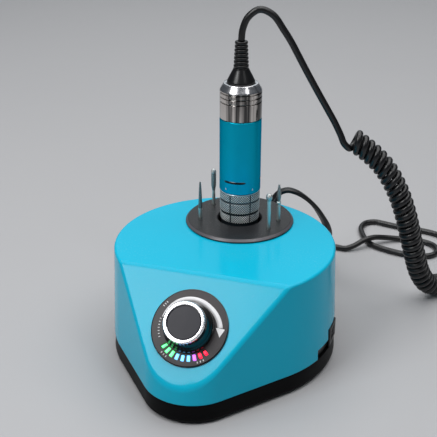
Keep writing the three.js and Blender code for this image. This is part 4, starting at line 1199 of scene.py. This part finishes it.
def build_knob():
    """The speed knob: glossy flared body, polished ring with a bevel inside and out, spun dark face."""
    # the foot flares to 14.8 mm, wider than the 14 mm foot of the model's knob, so its gloss black rim is
    # partly real knob and partly painted shade round the foot
    body = fillet([(3.3, 1.7), (14.0, 1.7), (14.8, 2.3), (14.7, 3.4), (13.6, 5.8), (12.2, 9.5), (11.7, 12.1),
                   (3.3, 12.1), (3.3, 1.7)], [0.4, 0.5, 1.0, 2.0, 3.0, 0.2, 0.1], 6)
    rides(lathe("knob_flared_body", body, GLOSS_BLACK, 128, matrix=ON_DIAL), "knob", "knob_body")
    ring = fillet([(9.9, 12.4), (11.9, 12.4), (12.1, 12.8), (12.1, 13.4), (11.7, 14.1), (10.4, 14.2),
                   (9.9, 13.8),
                   (9.9, 12.4)], [0.2, 0.1, 0.2, 0.25, 0.3, 0.15], 5)
    rides(lathe("knob_polished_ring", ring, RING, 128, matrix=ON_DIAL), "knob", "knob_ring")
    face = [(0, 12.5), (9.7, 12.5), (9.7, 13.2), (9.45, 13.45)]
    for k in range(18):
        r = 9.2 - k * 0.5
        face += [(r, 13.50 + 0.18 * (1 - (r / 9.4) ** 2)), (r - 0.25, 13.485 + 0.18 * (1 - (r / 9.4) ** 2))]
    face += [(0, 13.69)]
    rides(lathe("knob_spun_face", face, FACE_GREY, 128, matrix=ON_DIAL), "knob", "knob_face")


# ---------- bit plate ----------
WELL_RADIUS = 13.8
BIT_CIRCLE = 25.4
BITS = (("bit_needle", 204), ("bit_barrel", 149), ("bit_ball", -28), ("bit_flame", 4))
BIT_BODIES = ("needle_bit", "barrel_bit", "ball_bit", "flame_bit")


def bit_spot(deg):
    a = math.radians(deg)
    return (BIT_CIRCLE * math.cos(a), AXIS_Y + BIT_CIRCLE * math.sin(a))


def build_plate():
    """Satin disc on the top: slight dish, wide chamfer, countersunk bit holes and the parking hole."""
    outline = fillet([(WELL_RADIUS, 72.3), (34.2, 72.3), (34.75, 72.7), (34.75, 73.0), (33.2, 74.5),
                      (14.7, 74.45),
                      (WELL_RADIUS, 73.6), (WELL_RADIUS, 72.3)], [0.2, 0.2, 0.3, 0.5, 0.8, 0.2], 5)
    disc = lathe("bit_disc", outline, SATIN, 200, centre=(0, AXIS_Y))
    stems, cutters = [], []
    for _, deg in BITS:
        x, y = bit_spot(deg)
        spot = shift(x, y)
        stems.append(drum("stem", 2.9, 57, 72.6, 40, spot))
        cutters.append(lathe("hole", [(0, 58.7), (1.4, 58.7), (1.4, 74.25), (1.6, 74.6), (1.6, 80),
                                      (0, 80)], SATIN, 40,
                             matrix=spot))
    carve(disc, stems, "UNION")
    carve(disc, cutters)
    smooth_by_angle(disc, 30)
    # the chamfer round the top edge takes the paler grey of painted sheen
    disc.data.materials.append(PLATE_EDGE)
    for face in disc.data.polygons:
        from_axis = math.hypot(face.center.x, face.center.y - AXIS_Y * MM)
        if from_axis > 33.4 * MM and face.center.z > 73.2 * MM:
            face.material_index = 1
    rides(disc, "root", "bit_plate")
    well = [(0, 28), (15.2, 28), (15.6, 28.4), (15.6, 72), (WELL_RADIUS, 72), (WELL_RADIUS, 65.7),
            (10.4, 65.7),
            (10.4, 62.7), (12.8, 59.7), (12.8, 30.5), (12.3, 30), (0, 30)]
    rides(lathe("parking_well", fillet(well, 0.3, 3), SATIN, 96, centre=(0, AXIS_Y)), "root", "holder_well")


# ---------- bits ----------
def build_bits():
    """Four manicure bits: needle, long barrel, ball and flame, on ground 2.35 mm shanks."""
    shank = [(0, 59.0), (0.8, 59.0), (1.175, 59.5), (1.175, 62.0), (0.95, 62.3), (0.95, 63.3), (1.175, 63.6)]
    heads = {
        "bit_needle": ([(1.175, 80.4), (1.32, 81.0), (1.32, 82.0), (1.18, 82.4), (1.15, 86), (1.05, 90),
                        (0.82, 95),
                        (0.48, 99.6), (0.2, 100.2), (0, 100.3)], GRIT_DARK, 82.2),
        "bit_barrel": ([(1.1, 82.6), (0.98, 84.0), (0.98, 85.0), (1.35, 87.2), (1.62, 88.4), (1.66, 89.0),
                        (1.66, 96.6),
                        (1.72, 97.2), (1.74, 98.2), (1.35, 99.5), (0.75, 100.2), (0, 100.4)], GRIT_FINE,
                        86.0),
        "bit_ball": ([(1.2, 90.6), (1.28, 92.4), (1.3, 93.6), (1.5, 94.2), (1.85, 94.9), (2.05, 95.9),
                      (1.95, 96.9),
                      (1.5, 97.9), (0.8, 98.5), (0, 98.7)], TIP_PALE, 93.9),
        "bit_flame": ([(1.15, 84.6), (0.95, 85.4), (0.95, 85.8), (1.4, 86.3), (1.45, 86.9), (1.4, 87.5),
                       (0.95, 88.0),
                       (1.15, 89.4), (1.42, 91.4), (1.38, 93.0), (1.05, 96.0), (0.5, 99.4), (0, 100.2)],
                       GRIT_FINE, 88.1),
    }
    for (name, deg), body in zip(BITS, BIT_BODIES):
        head, grit_look, from_z = heads[name]
        x, y = bit_spot(deg)
        outline = fillet(shank + head, 0.35, 3)
        bit = lathe(name + "_turned", outline, SHANK, 48, centre=(x, y))
        bit.data.materials.append(grit_look)
        for face in bit.data.polygons:
            if face.center.z > from_z * MM:
                face.material_index = 1
        if name == "bit_barrel":
            bit.data.materials.append(TIP_PALE)
            for face in bit.data.polygons:
                if face.center.z > 97.3 * MM:
                    face.material_index = 2
        rides(bit, body, name)


# ---------- handpiece ----------
FRONT = -72.4       # plan angle of the side of the handpiece with the slot and marks


def knurled_wall(z0, z1, radius, depth, teeth, columns, row_step):
    """A wall cut with crossed V grooves and six plain joints: its points, and how deep each one lies, which
    sets its painted shade.
    """
    rows = max(3, int(round((z1 - z0) / row_step)) + 1)
    z = np.linspace(z0, z1, rows)[:, None]
    a = np.linspace(0, 2 * math.pi, columns, endpoint=False)[None, :]
    pitch = 2 * math.pi * radius / teeth
    s = a * radius

    def saw(v):
        return 1 - np.abs(2 * (v - np.floor(v)) - 1)

    tooth = np.minimum(saw((s + z) / pitch), saw((s - z) / pitch))
    height = np.minimum(tooth * 1.25, 0.9)
    edge = np.clip(np.minimum(z - z0, z1 - z) / 0.35, 0, 1)
    height = height * edge
    off = np.abs((np.degrees(a) - FRONT) % 60 - 30) * math.pi / 180 * radius
    joint = np.clip((off - 0.2) / 0.2, 0, 1)
    height = joint * height - (1 - joint) * 0.9
    r = radius - depth + height * depth
    points = np.stack([r * np.cos(a), AXIS_Y + r * np.sin(a), z + 0 * a], -1)
    return points, np.clip(1 - height, 0, 1)


def plain_wall(outline, columns, shade=0.0):
    a = np.linspace(0, 2 * math.pi, columns, endpoint=False)
    points = np.stack([np.stack([r * np.cos(a), AXIS_Y + r * np.sin(a), np.full(columns, float(z))], 1)
                       for r, z in outline])
    return points, np.full(points.shape[:2], shade)


def build_collar():
    """Twist collar: three diamond-knurled bands with turned grooves between them, darkened in their grooves
    and joints as painted shade.
    """
    columns, teeth = 624, 52
    parts = [
        # the last number of a plain wall is its painted shade: 1.0 darkens the step below the knurl and the
        # groove between the lower bands, 0.8 the upper groove
        plain_wall([(9.6, 66), (11.6, 66), (11.8, 66.3), (11.8, 74.4), (11.9, 74.9)], columns, 1.0),
        knurled_wall(75.0, 80.2, 12.5, 0.5, teeth, columns, 0.18),
        plain_wall([(11.6, 80.35), (10.9, 80.5), (10.9, 81.35), (11.7, 81.5)], columns, 1.0),
        knurled_wall(81.65, 88.3, 12.8, 0.42, teeth, columns, 0.18),
        plain_wall([(12.2, 88.45), (11.9, 88.6), (11.9, 88.85), (12.2, 89.0)], columns, 0.8),
        knurled_wall(89.15, 93.9, 12.85, 0.42, teeth, columns, 0.18),
        plain_wall([(12.5, 94.05), (12.45, 94.3), (12.2, 94.5), (9.6, 94.5)], columns),
    ]
    grid = np.concatenate([points for points, _ in parts])
    depth = np.concatenate([painted_groove_shade for _, painted_groove_shade in parts]).ravel()
    faces = grid_faces(len(grid), columns, close_rows=True)
    collar = new_piece("knurled_collar", grid.reshape(-1, 3), faces, KNURL)
    layer = collar.data.attributes.new("groove painted shade", "FLOAT", "POINT")
    layer.data.foreach_set("value", depth.astype(np.float32))
    smooth_by_angle(collar, 60)
    rides(collar, "collar", "twist_collar")


def curved_patch(name, r0, r1, points, material, steps=24):
    """A thin patch on the barrel: a closed strip between two edges given in (degrees, z)."""
    low, high = points
    t = np.linspace(0, 1, steps)
    bottom = np.stack([np.interp(t, np.linspace(0, 1, len(low)), [p[k] for p in low]) for k in (0, 1)], 1)
    top = np.stack([np.interp(t, np.linspace(0, 1, len(high)), [p[k] for p in high]) for k in (0, 1)], 1)
    verts = []
    for r in (r0, r1):
        for edge in (bottom, top):
            a = np.radians(edge[:, 0])
            verts.append(np.stack([r * np.cos(a), AXIS_Y + r * np.sin(a), edge[:, 1]], 1))
    b0, t0, b1, t1 = (k * steps for k in range(4))
    faces = []
    for p, q in ((b1, t1), (t1, t0), (t0, b0), (b0, b1)):
        faces += [(p + j, p + j + 1, q + j + 1, q + j) for j in range(steps - 1)]
    faces += [(b0, b1, t1, t0), (b0 + steps - 1, t0 + steps - 1, t1 + steps - 1, b1 + steps - 1)]
    piece = new_piece(name, np.concatenate(verts), faces, material)
    fix_normals(piece)
    return piece


def build_handpiece():
    """Anodised barrel with a black slot, polished end cap with three grooves, and the ribbed cord boot."""
    barrel = fillet([(9.8, 94.8), (12.6, 94.8), (13.0, 95.3), (13.0, 141.75), (12.8, 142.0), (11.5, 142.0),
                     (11.5, 97.8),
                     (9.8, 97.8), (9.8, 94.8)], 0.15, 3)
    dense = []
    for p, q in zip(barrel, barrel[1:]):
        n = max(1, int(np.linalg.norm(q - p) / 1.5))
        dense += [p + (q - p) * k / n for k in range(n)]
    dense.append(barrel[-1])
    rides(lathe("anodised_barrel", dense, TEAL, 192, centre=(0, AXIS_Y)), "handpiece", "handpiece_barrel")
    for k in range(3):
        sweep = np.linspace(FRONT - 51, FRONT + 15, 15) + 120 * k
        half = 0.72 * np.sqrt(np.clip(1 - np.abs(np.linspace(-1, 1, 15)) ** 9, 0.02, 1))
        inlay = curved_patch("barrel_slot_%d" % (k + 1), 12.5, 13.03,
                             ([(a, 102.9 - h) for a, h in zip(sweep, half)],
                              [(a, 102.9 + h) for a, h in zip(sweep, half)]), GLOSS_BLACK, 60)
        rides(inlay, "handpiece", None)
    for k, mark in enumerate((FRONT - 44, FRONT + 36)):
        patch = curved_patch("barrel_mark_%d" % (k + 1), 12.9, 13.015,
                             ([(mark - 2.6, 97.3), (mark + 2.6, 97.3)],
                              [(mark - 0.3, 98.7), (mark + 0.3, 98.7)]), PRINT, 6)
        rides(patch, "handpiece", None)

    cap = [(4.4, 161.2), (8.0, 161.2), (8.0, 142.3), (12.75, 142.3), (13.0, 142.6)]
    for groove in (153.2, 156.2, 159.0):
        cap += [(13.0, groove - 0.5), (12.35, groove - 0.32), (12.3, groove + 0.25), (13.0, groove + 0.45)]
    cap += [(13.0, 159.9), (12.7, 160.5), (10.9, 163.4), (10.9, 163.5), (10.6, 164.0), (9.6, 164.2),
            (8.7, 163.9),
            (8.4, 163.3), (4.4, 163.3), (4.4, 161.2)]
    end_cap = lathe("polished_end_cap", fillet(cap, 0.22, 4), CHROME, 192, centre=(0, AXIS_Y))
    # painted highlight: the lip and bevel take the brighter satin ring metal, so they read brighter than the
    # streaked plating below
    end_cap.data.materials.append(RING)
    for face in end_cap.data.polygons:
        if face.center.z > 160.2 * MM:
            face.material_index = 1
    rides(end_cap, "handpiece", "end_cap")

    boot = [(2.2, 163.6), (8.3, 163.6), (8.65, 164.6), (8.5, 165.4), (6.9, 168.6), (5.0, 172.2),
            (4.75, 173.0)]
    ribs, z0, z1 = 7, 173.0, 189.4
    pitch = (z1 - z0) / ribs
    for k in range(ribs):
        z = z0 + k * pitch
        rim = 4.65 - 0.72 * k / (ribs - 1)
        boot += [(rim - 1.15, z + 0.1), (rim - 1.15, z + 0.55), (rim - 0.1, z + 0.75), (rim, z + 1.1),
                 (rim - 0.05, z + pitch - 0.35), (rim - 0.25, z + pitch - 0.12)]
    boot += [(2.9, 189.5), (2.2, 189.3), (2.2, 163.6)]
    rides(lathe("ribbed_cord_boot", fillet(boot, 0.18, 3), BOOT_RUBBER, 96, centre=(0, AXIS_Y)), "handpiece",
          "cord_boot")

    cone = [(3.4, 45), (4.3, 45), (4.7, 45.4), (4.9, 49.5), (5.3, 50.2), (5.3, 51.0), (5.6, 51.2),
            (8.6, 58.6), (8.8, 59.4)]
    for k in range(9):
        cone += [(8.85, 60 + k * 0.6), (8.6, 60.2 + k * 0.6), (8.6, 60.35 + k * 0.6)]
    cone += [(9.1, 65.6), (9.2, 65.9), (9.2, 97.5), (7, 97.5), (7, 66), (4, 53), (3.4, 53), (3.4, 45)]
    rides(lathe("nose_cone_turned", fillet(cone, 0.12, 2), STEEL, 128, centre=(0, AXIS_Y)), "handpiece",
          "nose_cone")
    collet = lathe("split_collet", fillet([(0, 55), (1.3, 55), (1.3, 41.2), (1.55, 41), (2.1, 41),
                                           (2.3, 41.4), (2.95, 44),
                                           (2.95, 81.6), (0, 81.6)], 0.12, 3), STEEL, 72, centre=(0, AXIS_Y))
    slits = [block("slit", -4, 4, -0.16, 0.16, 40, 50, Matrix.Translation(Vector((0, AXIS_Y, 0)) * MM)
                   @ Matrix.Rotation(math.radians(k * 60), 4, "Z")) for k in range(3)]
    carve(collet, slits)
    smooth_by_angle(collet, 30)
    rides(collet, "rotor", "collet")


# ---------- handpiece cord ----------
def pts(*triples):
    return [(x, AXIS_Y + y, z) for x, y, z in triples]


CORD_TOP = pts((0, 0, 189.9), (0.6, .2, 196), (3.6, 1.1, 203.4), (10, 3.1, 207.9), (17.4, 5.5, 204.8),
               (24, 7.6, 195.5),
               (28.5, 9, 188.2), (32.9, 10.4, 179.8), (38.4, 12.2, 169.3), (44.9, 14.2, 157.4),
               (50.8, 16.1, 146.8),
               (55.4, 17.6, 138.4), (59.6, 17.7, 130.4), (62.0, 17.2, 125.6))
FIRST_PHASE = math.radians(188)
LEAD_IN = np.array([-0.5, 0, 0.5])
CURL = pts((67.4, 21.4, 127.2), (72.3, 23.5, 122.8), (79.1, 26.7, 116.4), (87.0, 29.5, 107.4),
           (95.4, 32.5, 92.5),
           (101.5, 35.8, 76), (106, 40.2, 58), (109.8, 45.5, 41), (113.8, 52.4, 25), (119.6, 61.6, 12.6),
           (128, 74, 7.6),
           (135, 89, 7.6), (138.6, 105, 7.6), (139, 121, 7.6))
TAIL = pts((139, 121.6, 7.3), (138.7, 131, 4.6), (136, 145, CORD_Z), (129, 157, CORD_Z), (117, 165, CORD_Z),
           (103, 168.5, CORD_Z), (88, 169.5, CORD_Z), (75.5, 172, CORD_Z), (66.5, 173.5, CORD_Z),
           (59.5, 169, CORD_Z),
           (57.3, 159, CORD_Z), (60.2, 148, CORD_Z), (65, 137.5, CORD_Z), (71.5, 130, CORD_Z),
           (81, 125.8, CORD_Z),
           (94, 122.5, CORD_Z), (107, 122, CORD_Z), (117, 126.5, CORD_Z), (120.5, 135.5, CORD_Z),
           (116, 144.5, CORD_Z),
           (105, 148.8, CORD_Z), (92, 147.8, CORD_Z), (80.5, 142.7, 4.2), (70.6, 134, 6.9), (64, 127, 6.5),
           (58.2, 121.4, 4), (51.8, 117.8, CORD_Z), (45, 118.2, CORD_Z), (38, 118.6, CORD_Z),
           (31.6, 114, CORD_Z),
           (28.4, 105, CORD_Z), (27.6, 94, CORD_Z), (27.3, 84, 4.8), (27, 75, 11), (26.3, 68, 17),
           (25.2, 62.6, 20))
LEAD = pts((8.05, 48.25, 61.3), (9.6, 51.3, 65.4), (13, 54.2, 70.6), (18.5, 56, 72.6), (24.5, 58, 70.8),
           (30.3, 61, 66.3),
           (36, 65, 59.2), (40.5, 70, 49.9), (43.4, 75, 41), (44.2, 81, 30.5), (42, 88, 20.4), (37, 95.5, 13),
           (29.5, 103.5, 9), (22, 112, 5.5), (14, 121.5, 2.6), (4, 131, 2.2), (-6, 138.8, 2.2),
           (-15.8, 145.2, 2.2))
CURL_RADIUS, CURL_PITCH = 5.3, 5.1
COIL_X, COIL_Y = -38.0, AXIS_Y + 102


def curly_path():
    """The handpiece cord: the arch from the boot, the helix with its first turns pulled open, the tail."""
    line = spline(CURL, 0.27)
    gone = np.concatenate([[0], np.cumsum(np.linalg.norm(np.diff(line, axis=0), axis=1))])
    tangent = np.gradient(line, axis=0)
    tangent /= np.linalg.norm(tangent, axis=1)[:, None]
    side = np.zeros_like(line)
    up_right = np.array([0.52, 0.165, 0.84])
    side[0] = up_right - (up_right @ tangent[0]) * tangent[0]
    side[0] /= np.linalg.norm(side[0])
    for i in range(1, len(line)):
        carried = side[i - 1] - (side[i - 1] @ tangent[i]) * tangent[i]
        side[i] = carried / np.linalg.norm(carried)
    near = np.cross(side, tangent)
    pulled = 0.42 * np.clip(1 - gone / 90, 0, 1)
    near = near + pulled[:, None] * tangent
    left = gone[-1] - gone
    near_end = np.clip(left / 20, 0, 1)
    radius = CURL_RADIUS * near_end ** 2 * (3 - 2 * near_end)
    rate = 2 * math.pi / CURL_PITCH * (0.25 + 0.75 * near_end)
    phase = FIRST_PHASE + np.concatenate([[0], np.cumsum(rate[1:] * np.diff(gone))])
    hanging = side - 0.45 * (np.clip(1 - gone / 90, 0, 1))[:, None] * tangent
    helix = line + radius[:, None] * (np.cos(phase)[:, None] * hanging - np.sin(phase)[:, None] * near)
    start_way = helix[1] - helix[0]
    start_way /= np.linalg.norm(start_way)
    arch = spline([*CORD_TOP, tuple(helix[0] - 2.6 * start_way + LEAD_IN), tuple(helix[0])], 1.2)[:-1]
    tail = spline([tuple(helix[-1]), *TAIL[1:]], 2.6)[1:]
    return np.vstack([arch, helix, tail])


def build_handpiece_cord():
    path = curly_path()
    cord = tube("handpiece_cord_curled", path, oval(CORD_D, CORD_D, 14), CORD_BLACK)
    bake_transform(cord)
    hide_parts("handpiece_cord", "curly_cord", "cord_tail")
    outline = [(0, 2.7), (5.6, 2.7)]
    for k in range(8):
        outline += [(5.6, 3.6 + k * 1.5), (5.2, 3.9 + k * 1.5), (5.2, 4.5 + k * 1.5), (5.6, 4.8 + k * 1.5)]
    outline += [(5.6, 16.4), (4.6, 18.0), (4.2, 18.6)]
    for k in range(5):
        z = 19.0 + k * 1.75
        outline += [(3.3 - 0.1 * k, z), (3.3 - 0.1 * k, z + 0.5), (4.0 - 0.16 * k, z + 0.7),
                    (4.0 - 0.16 * k, z + 1.5)]
    outline += [(2.9, 27.9), (0, 28.0)]
    plug = lathe("jack_plug_grip", fillet(outline, 0.2, 3), SATIN, 72,
                 matrix=out_of_back(HANDPIECE_DEG, PANEL_OUTER, SOCKET_Z))
    rides(plug, "root", "handpiece_plug")


# ---------- mains lead ----------
PLUG_X, PLUG_Y = -87.0, AXIS_Y + 92
PLUG_TURN = math.radians(-6)
LEAD_SPACING = 2.4


def coil_path():
    """Flat lead wound in two layers: in along the table, up, and out again on top, ending at the plug."""
    def at(theta, r, z):
        return (COIL_X + r * math.cos(theta), COIL_Y + r * math.sin(theta), z)
    deg = math.radians
    low, high = 2.0, 5.25
    out = []
    theta0 = deg(63)
    steps = 26
    start = deg(128)
    for k in range(1, 7):
        t = k / 7
        out.append(at(theta0 + (start - theta0) * t, 48.0 - 6.0 * (t * t * (3 - 2 * t)), low))
    for k in range(int(2 * steps)):
        out.append(at(start + 2 * math.pi * k / steps, 42 - 6 * k / steps, low))
    start += 4 * math.pi
    for k in range(steps):
        t = k / steps
        lift = min(1, max(0, (t - 0.7) / 0.3))
        out.append(at(start + 2 * math.pi * t, 30 - 7 * t, low + (high - low) * lift * lift * (3 - 2 * lift)))
    start += 2 * math.pi
    turns = 3 + (140 - 128) / 360
    total = int(turns * steps)
    for k in range(total):
        t = k / steps
        out.append(at(start + 2 * math.pi * t, 23 + 19 * t / turns, high))
    out += [(-76.0, AXIS_Y + 123.0, 5.6), (-81.0, AXIS_Y + 113.0, 6.3), (-84.8, AXIS_Y + 103.0, 6.8),
            (PLUG_X + 0.2, PLUG_Y + 2.0, 6.9)]
    return out


def band(name, theta_deg, r0, r1, z0, z1, width, thick, material):
    """A strap round the section of the coil."""
    corner = 2.2
    loop = []
    for cx, cz, a0 in ((r1 - corner, z1 - corner, 0), (r0 + corner, z1 - corner, 90),
                       (r0 + corner, z0 + corner, 180),
                       (r1 - corner, z0 + corner, 270)):
        for k in range(7):
            a = math.radians(a0 + 15 * k)
            loop.append((cx + corner * math.cos(a), cz + corner * math.sin(a), math.cos(a), math.sin(a)))
    a = math.radians(theta_deg)
    radial, tangent = np.array([math.cos(a), math.sin(a)]), np.array([-math.sin(a), math.cos(a)])
    rows = []
    for out, across in ((0, -1), (thick, -0.92), (thick, 0.92), (0, 1)):
        row = []
        for r, z, nx, nz in loop:
            xy = np.array([COIL_X, COIL_Y]) + (r + nx * out) * radial + across * width / 2 * tangent
            row.append((xy[0], xy[1], z + nz * out))
        rows.append(row)
    verts = np.array(rows).reshape(-1, 3)
    faces = grid_faces(4, len(loop), close_rows=True)
    piece = new_piece(name, verts, faces, material)
    fix_normals(piece)
    return smooth_by_angle(piece, 40)


def build_mains_lead():
    """Flat two-core lead from its angled strain relief to a tied coil, and its plug."""
    path = spline(LEAD + coil_path(), LEAD_SPACING)
    up = np.tile((0.0, 0.0, 1.0), (len(path), 1))
    lead = tube("flat_mains_lead", path, oval(LEAD_WIDTH, LEAD_THICK, 20), CORD_BLACK, flat_up=up)
    rides(lead, "root", ("mains_lead", "mains_coil"))
    tie = band("lead_tie", 262, 19.4, 46.6, 0.15, 7.6, 7.0, 0.7, RUBBER)
    rides(tie, "root", None)

    reach = (Vector(GLAND_TIP) - Vector(GLAND_FOOT)).length
    relief = [(0, -3), (4.6, -3), (4.8, -2.6), (4.8, 2.0), (6.2, 2.2), (6.3, 3.4), (4.9, 3.7)]
    for k in range(6):
        z = 4.3 + k * 2.7
        rim = 4.75 - 0.17 * k
        relief += [(rim - 0.75, z), (rim - 0.75, z + 0.7), (rim, z + 0.9), (rim - 0.05, z + 2.3)]
    relief += [(3.55, reach - 1.0), (3.3, reach - 0.1), (0, reach)]
    boot = lathe("mains_strain_relief", fillet(relief, 0.2, 3), BOOT_RUBBER, 72,
                 matrix=along(GLAND_FOOT, GLAND_TIP))
    rides(boot, "root", "mains_boot")

    half = [(4.0, 0.3), (5.0, -2.0), (6.4, -5.5), (8.9, -9.5), (10.9, -14.0), (12.0, -19.0), (12.5, -25.0),
            (12.5, -31.0),
            (11.7, -35.0), (10.2, -37.0)]
    outline = half + [(-x, y) for x, y in half[::-1]]
    turn = shift(PLUG_X, PLUG_Y) @ Matrix.Rotation(PLUG_TURN, 4, "Z")
    body = flat_shape("two_pin_plug", outline, 0.45, 13.35, SATIN)
    grips = [block("grip", side * 11.0 - 1.9, side * 11.0 + 1.9, y - 0.45, y + 0.45, -1, 20)
             for side in (-1.06, 1.06) for y in (-17, -19.4, -21.8, -24.2, -26.6)]
    soften(body, 2.2, 5, 40)
    carve(body, grips)
    soften(body, 0.25, 2, 38)
    pins = []
    for x in (-9.5, 9.5):
        outline = fillet([(0, -1), (2.35, -1), (2.35, 9.5), (2.05, 9.8), (2.05, 18.2), (1.1, 19.4),
                          (0, 19.5)], 0.25, 3)
        at = turn @ Matrix.Translation(Vector((x, -36.2, 6.9)) * MM) @ Matrix.Rotation(math.pi / 2, 4, "X")
        pin = lathe("plug_pin_left" if x < 0 else "plug_pin_right", outline, STEEL, 48, matrix=at)
        pin.data.materials.append(SATIN)
        foot = (at @ Vector((0, 0, 0)))
        for face in pin.data.polygons:
            if (face.center - foot).length < 9.9 * MM:
                face.material_index = 1
        pins.append(pin)
    place(body, turn)
    rides(body, "root", "mains_plug")
    for pin in pins:
        rides(pin, "root", None)


# ---------- inside ----------
def paint_inside():
    """Finishes for the solids inside the box and the handpiece."""
    inside = {"control_board": BOARD, "power_board": BOARD, "transformer": COPPER, "potentiometer": STEEL,
              "knob_shaft": STEEL, "motor_can": STEEL, "front_bearing": STEEL, "rear_bearing": STEEL,
              "rotor": COPPER}
    for name, material in inside.items():
        data = NODES[name].data
        data.materials.clear()
        data.materials.append(material)


# ---------- floor and light ----------
def build_stage():
    verts = [(-4000, -4000, 0), (4000, -4000, 0), (4000, 4000, 0), (-4000, 4000, 0)]
    material, tree, shader = new_material("pale floor", Specular_IOR_Level=0.25)
    tree.links.new(use(tree, DRIFT, Colour=FLOOR_COLOUR, Scale=3.0, Amount=0.02)["Colour"],
                   shader.inputs["Base Color"])
    skin = use(tree, GRAIN, Scale=900.0, Roughness=0.55, Spread=0.04)
    tree.links.new(skin["Roughness"], shader.inputs["Roughness"])
    floor = new_piece("floor", verts, [(0, 1, 2, 3)], material, smooth=False)


FLOOR_COLOUR = (0.42, 0.42, 0.43, 1)


def softbox(name, spot, aim, width, height, power, colour=(1, 1, 1)):
    data = bpy.data.lights.new(name, "AREA")
    data.shape = "RECTANGLE"
    data.size, data.size_y = width, height
    data.energy = power
    data.color = colour
    lamp = bpy.data.objects.new(name, data)
    lamp.location = spot
    lamp.rotation_euler = (Vector(aim) - Vector(spot)).to_track_quat("-Z", "Y").to_euler()
    bpy.context.scene.collection.objects.link(lamp)


def build_light():
    world = bpy.data.worlds.new("studio")
    world.use_nodes = True
    shade = world.node_tree.nodes["Background"]
    shade.inputs["Color"].default_value = (0.55, 0.62, 0.7, 1)
    shade.inputs["Strength"].default_value = 0.1
    bpy.context.scene.world = world
    bpy.context.scene.view_settings.view_transform = "Standard"
    softbox("ceiling", (0.1, 0.3, 1.7), (0, 0.1, 0), 2.4, 2.2, 36)
    softbox("front left window", (-0.56, -0.78, 1.1), (-0.05, -0.05, 0.05), 0.56, 0.6, 9.5)
    softbox("back card", (-0.45, 1.5, 0.85), (0, 0, 0.07), 1.5, 0.9, 2.2, (0.9, 0.97, 1.0))
    softbox("right strip", (0.62, -0.33, 1.0), (0, 0.03, 0.12), 0.12, 0.5, 1.0)


# ---------- put together ----------
build_handpiece_cord()
build_mains_lead()
build_shell()
build_skirt()
build_feet()
build_rear()
build_dial()
build_knob()
build_plate()
build_bits()
build_collar()
build_handpiece()
paint_inside()
build_stage()
build_light()
